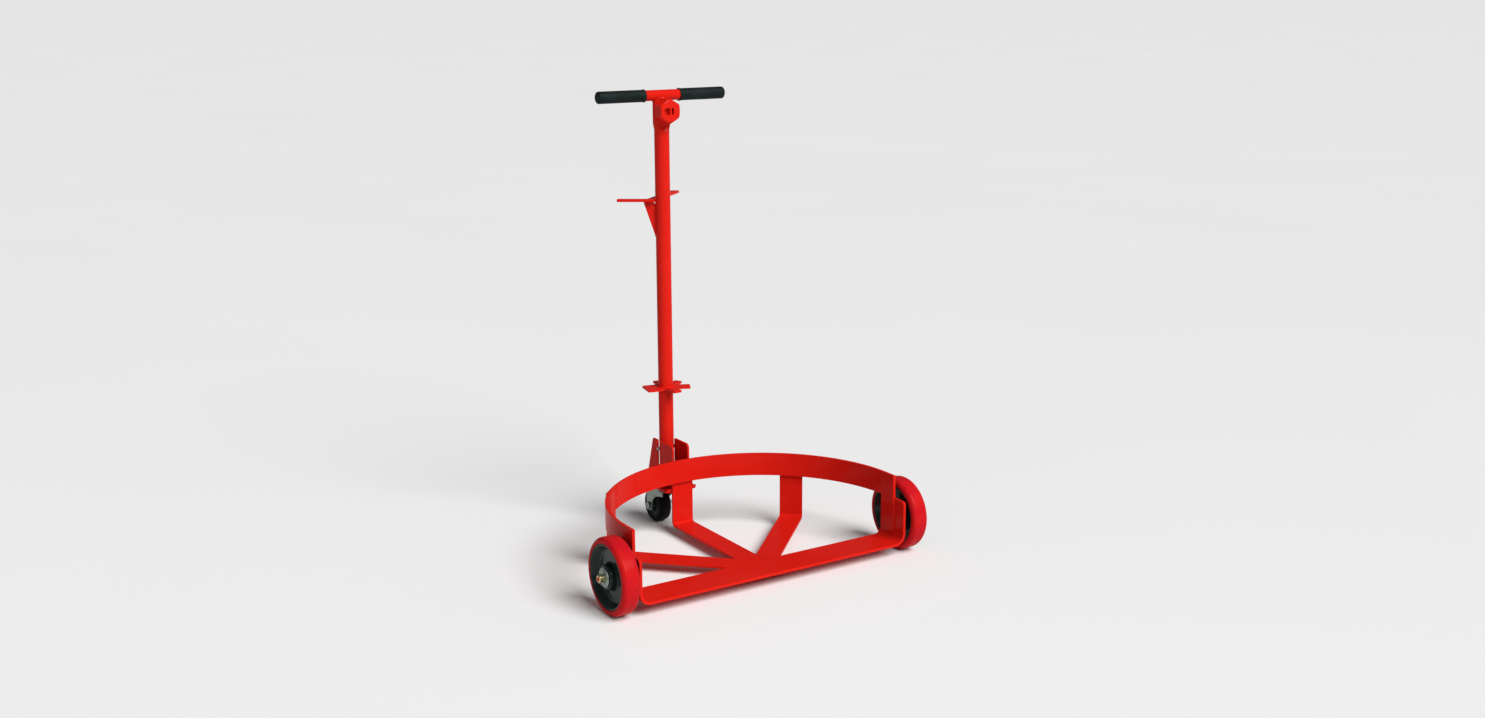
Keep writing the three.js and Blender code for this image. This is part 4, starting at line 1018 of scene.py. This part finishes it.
def star_outline():
    """Lobes joined by notches that come close to the post."""
    points = []
    for index, (angle, reach, half) in enumerate(STAR_LOBES):
        turn = math.radians(angle)
        u = Vector((math.cos(turn), math.sin(turn)))
        v = Vector((-u.y, u.x))
        root = math.sqrt(max(1.0, 22.5**2 - min(half, 20) ** 2))
        tip, side = u * (reach - 2), v * half
        points += [u * root - side, tip - side, tip + side, u * root + side]
        following = STAR_LOBES[(index + 1) % len(STAR_LOBES)][0]
        gap = (following - angle) % 360
        if gap > 55:
            middle = math.radians(angle + gap / 2)
            points.append(Vector((math.cos(middle), math.sin(middle))) * 21.5)
    return [(p.x, p.y) for p in points]


def build_tools():
    hole = arc((0, 0), POST_RADIUS + 0.2, 360, 5, 71)
    star = round_corners(star_outline(), 2.5)
    mesh = plate_mesh([star, hole], STAR_THICK, flat_at(STAR_TOP - STAR_THICK, 0, POST_Y), bevel=0.6)
    add_piece("star_plate_detail", mesh, PAINT, "handle", ["star_plate"])
    for label, z in (("top", STAR_TOP + 0.3), ("under", STAR_TOP - STAR_THICK - 0.3)):
        ring = [(x, y + POST_Y, z) for x, y in arc((0, 0), POST_RADIUS + 0.4, 0, 357, 150)]
        weld(f"star_{label}_weld", ring, "handle", 2.0, closed=True)
    hook = round_corners(HOOK_OUTLINE, 2.5)
    low = HOOK_TOP - HOOK_THICK
    mesh = plate_mesh([hook], HOOK_THICK, flat_at(low, 0, POST_Y), bevel=0.6)
    bore = [(0, low - 2), (POST_RADIUS, low - 2), (POST_RADIUS, HOOK_TOP + 2), (0, HOOK_TOP + 2)]
    notch = turned_mesh(bore, flat_at(0, 0, POST_Y), 72)
    add_piece("hook_plate_detail", carved(mesh, [notch]), PAINT, "handle", ["hook_plate"])
    for label, z in (("top", HOOK_TOP + 0.2), ("under", low - 0.2)):
        rear = [(x, y + POST_Y, z) for x, y in arc((0, 0), POST_RADIUS + 0.5, 78, 180, 60)]
        weld(f"hook_{label}_weld", rear, "handle", 2.0)
    inner, top, reach = POST_RADIUS, low, 40.0
    gusset = [(inner, top - 76), (reach, top - 3.4), (reach, top - 0.4), (inner + 5, top - 0.4)]
    gusset.append((inner, top - 5.4))
    turn = Matrix.Rotation(math.radians(GUSSET_ANGLE), 4, "Z")
    placing = Matrix.Translation((0, POST_Y, 0)) @ turn @ facing_y(2.5)
    mesh = plate_mesh([gusset], 5.0, placing, bevel=0.6)
    add_piece("hook_gusset_detail", mesh, PAINT, "handle", ["hook_gusset"])
    for label, across in (("front", 2.7), ("rear", -2.7)):
        foot = turn @ Vector((POST_RADIUS, across, 0))
        points = line((foot.x, foot.y + POST_Y, top - 74), (foot.x, foot.y + POST_Y, top - 7))
        weld(f"gusset_{label}_weld", points, "handle", 1.5)


# ---------------------------------------------------------------- studio

FLOOR_HALF = 900.0  # metres, so that the floor's edge looks like a horizon
AMBIENT = 0.15  # what the sky lights the dolly with
BACKDROP = 0.8  # what shows above the horizon, as pale as the floor


def build_floor():
    mesh = bpy.data.meshes.new("floor")
    size = FLOOR_HALF
    corners = [(-size, -size, 0), (size, -size, 0), (size, size, 0), (-size, size, 0)]
    mesh.from_pydata(corners, [], [(0, 1, 2, 3)])
    mesh.materials.append(floor_paper())
    floor = bpy.data.objects.new("floor", mesh)
    bpy.context.scene.collection.objects.link(floor)


def soft_sun(name, azimuth, elevation, strength, spread):
    """A wide sun: azimuth 0 shines from the front, 90 from the right."""
    data = bpy.data.lights.new(name, "SUN")
    data.energy = strength
    data.angle = math.radians(spread)
    light = bpy.data.objects.new(name, data)
    a, e = math.radians(azimuth), math.radians(elevation)
    source = Vector((math.sin(a) * math.cos(e), -math.cos(a) * math.cos(e), math.sin(e)))
    light.rotation_mode = "QUATERNION"
    light.rotation_quaternion = (-source).to_track_quat("-Z", "Y")
    light.location = source * 3
    bpy.context.scene.collection.objects.link(light)


def softbox(name, place, target, size, power):
    """A small panel that draws a highlight along gloss paint."""
    data = bpy.data.lights.new(name, "AREA")
    data.shape = "RECTANGLE"
    data.size = size[0]
    data.size_y = size[1]
    data.energy = power
    light = bpy.data.objects.new(name, data)
    light.location = place
    aim = Vector(target) - Vector(place)
    light.rotation_mode = "QUATERNION"
    light.rotation_quaternion = aim.to_track_quat("-Z", "Y")
    bpy.context.scene.collection.objects.link(light)


def build_lights():
    world = bpy.data.worlds.new("studio")
    world.use_nodes = True
    nodes, links = world.node_tree.nodes, world.node_tree.links
    ambient = nodes["Background"]
    ambient.inputs["Color"].default_value = (1, 1, 1, 1)
    ambient.inputs["Strength"].default_value = AMBIENT
    backdrop = nodes.new("ShaderNodeBackground")
    backdrop.inputs["Color"].default_value = (1, 1, 1, 1)
    backdrop.inputs["Strength"].default_value = BACKDROP
    seen = nodes.new("ShaderNodeMixShader")
    links.new(nodes.new("ShaderNodeLightPath").outputs["Is Camera Ray"], seen.inputs["Fac"])
    links.new(ambient.outputs["Background"], seen.inputs[1])
    links.new(backdrop.outputs["Background"], seen.inputs[2])
    links.new(seen.outputs["Shader"], nodes["World Output"].inputs["Surface"])
    bpy.context.scene.world = world
    soft_sun("key", 12, 44, 3.93, 36)
    softbox("strip", (0.3, -3.0, 1.9), (0, 0, 0.5), (0.5, 1.8), 4)
    softbox("rim", (-2.6, -2.0, 1.7), (-0.35, -0.2, 0.1), (0.5, 1.6), 5)


def build_camera():
    data = bpy.data.cameras.new("photo_camera")
    data.sensor_width = 36.0
    data.lens = 38.48
    camera = bpy.data.objects.new("photo_camera", data)
    azimuth, elevation, roll = -0.5684, 0.2294, 0.0043
    forward = Vector(
        (
            -math.sin(azimuth) * math.cos(elevation),
            math.cos(azimuth) * math.cos(elevation),
            -math.sin(elevation),
        )
    )
    level = Vector((math.cos(azimuth), math.sin(azimuth), 0.0))
    down = forward.cross(level)
    right = level * math.cos(roll) + down * math.sin(roll)
    below = -level * math.sin(roll) + down * math.cos(roll)
    rotation = Matrix((right, -below, -forward)).transposed()
    camera.rotation_mode = "QUATERNION"
    camera.rotation_quaternion = rotation.to_quaternion()
    camera.location = at(-1651.33, -2507.09, 1152.54)
    data.clip_start, data.clip_end = 0.05, 2000.0
    bpy.context.scene.collection.objects.link(camera)
    bpy.context.scene.camera = camera


# ---------------------------------------------------------------- the scene

bpy.context.scene.view_settings.view_transform = "Standard"
build_camera()
build_ring_band()
build_front_bar()
build_end_legs()
build_spokes()
build_bracket()
build_front_wheels()
build_caster_mount()
build_caster_fork()
build_caster_wheel()
build_post()
build_t_bar()
build_grips()
build_hex_wrench()
build_tools()
build_floor()
build_lights()
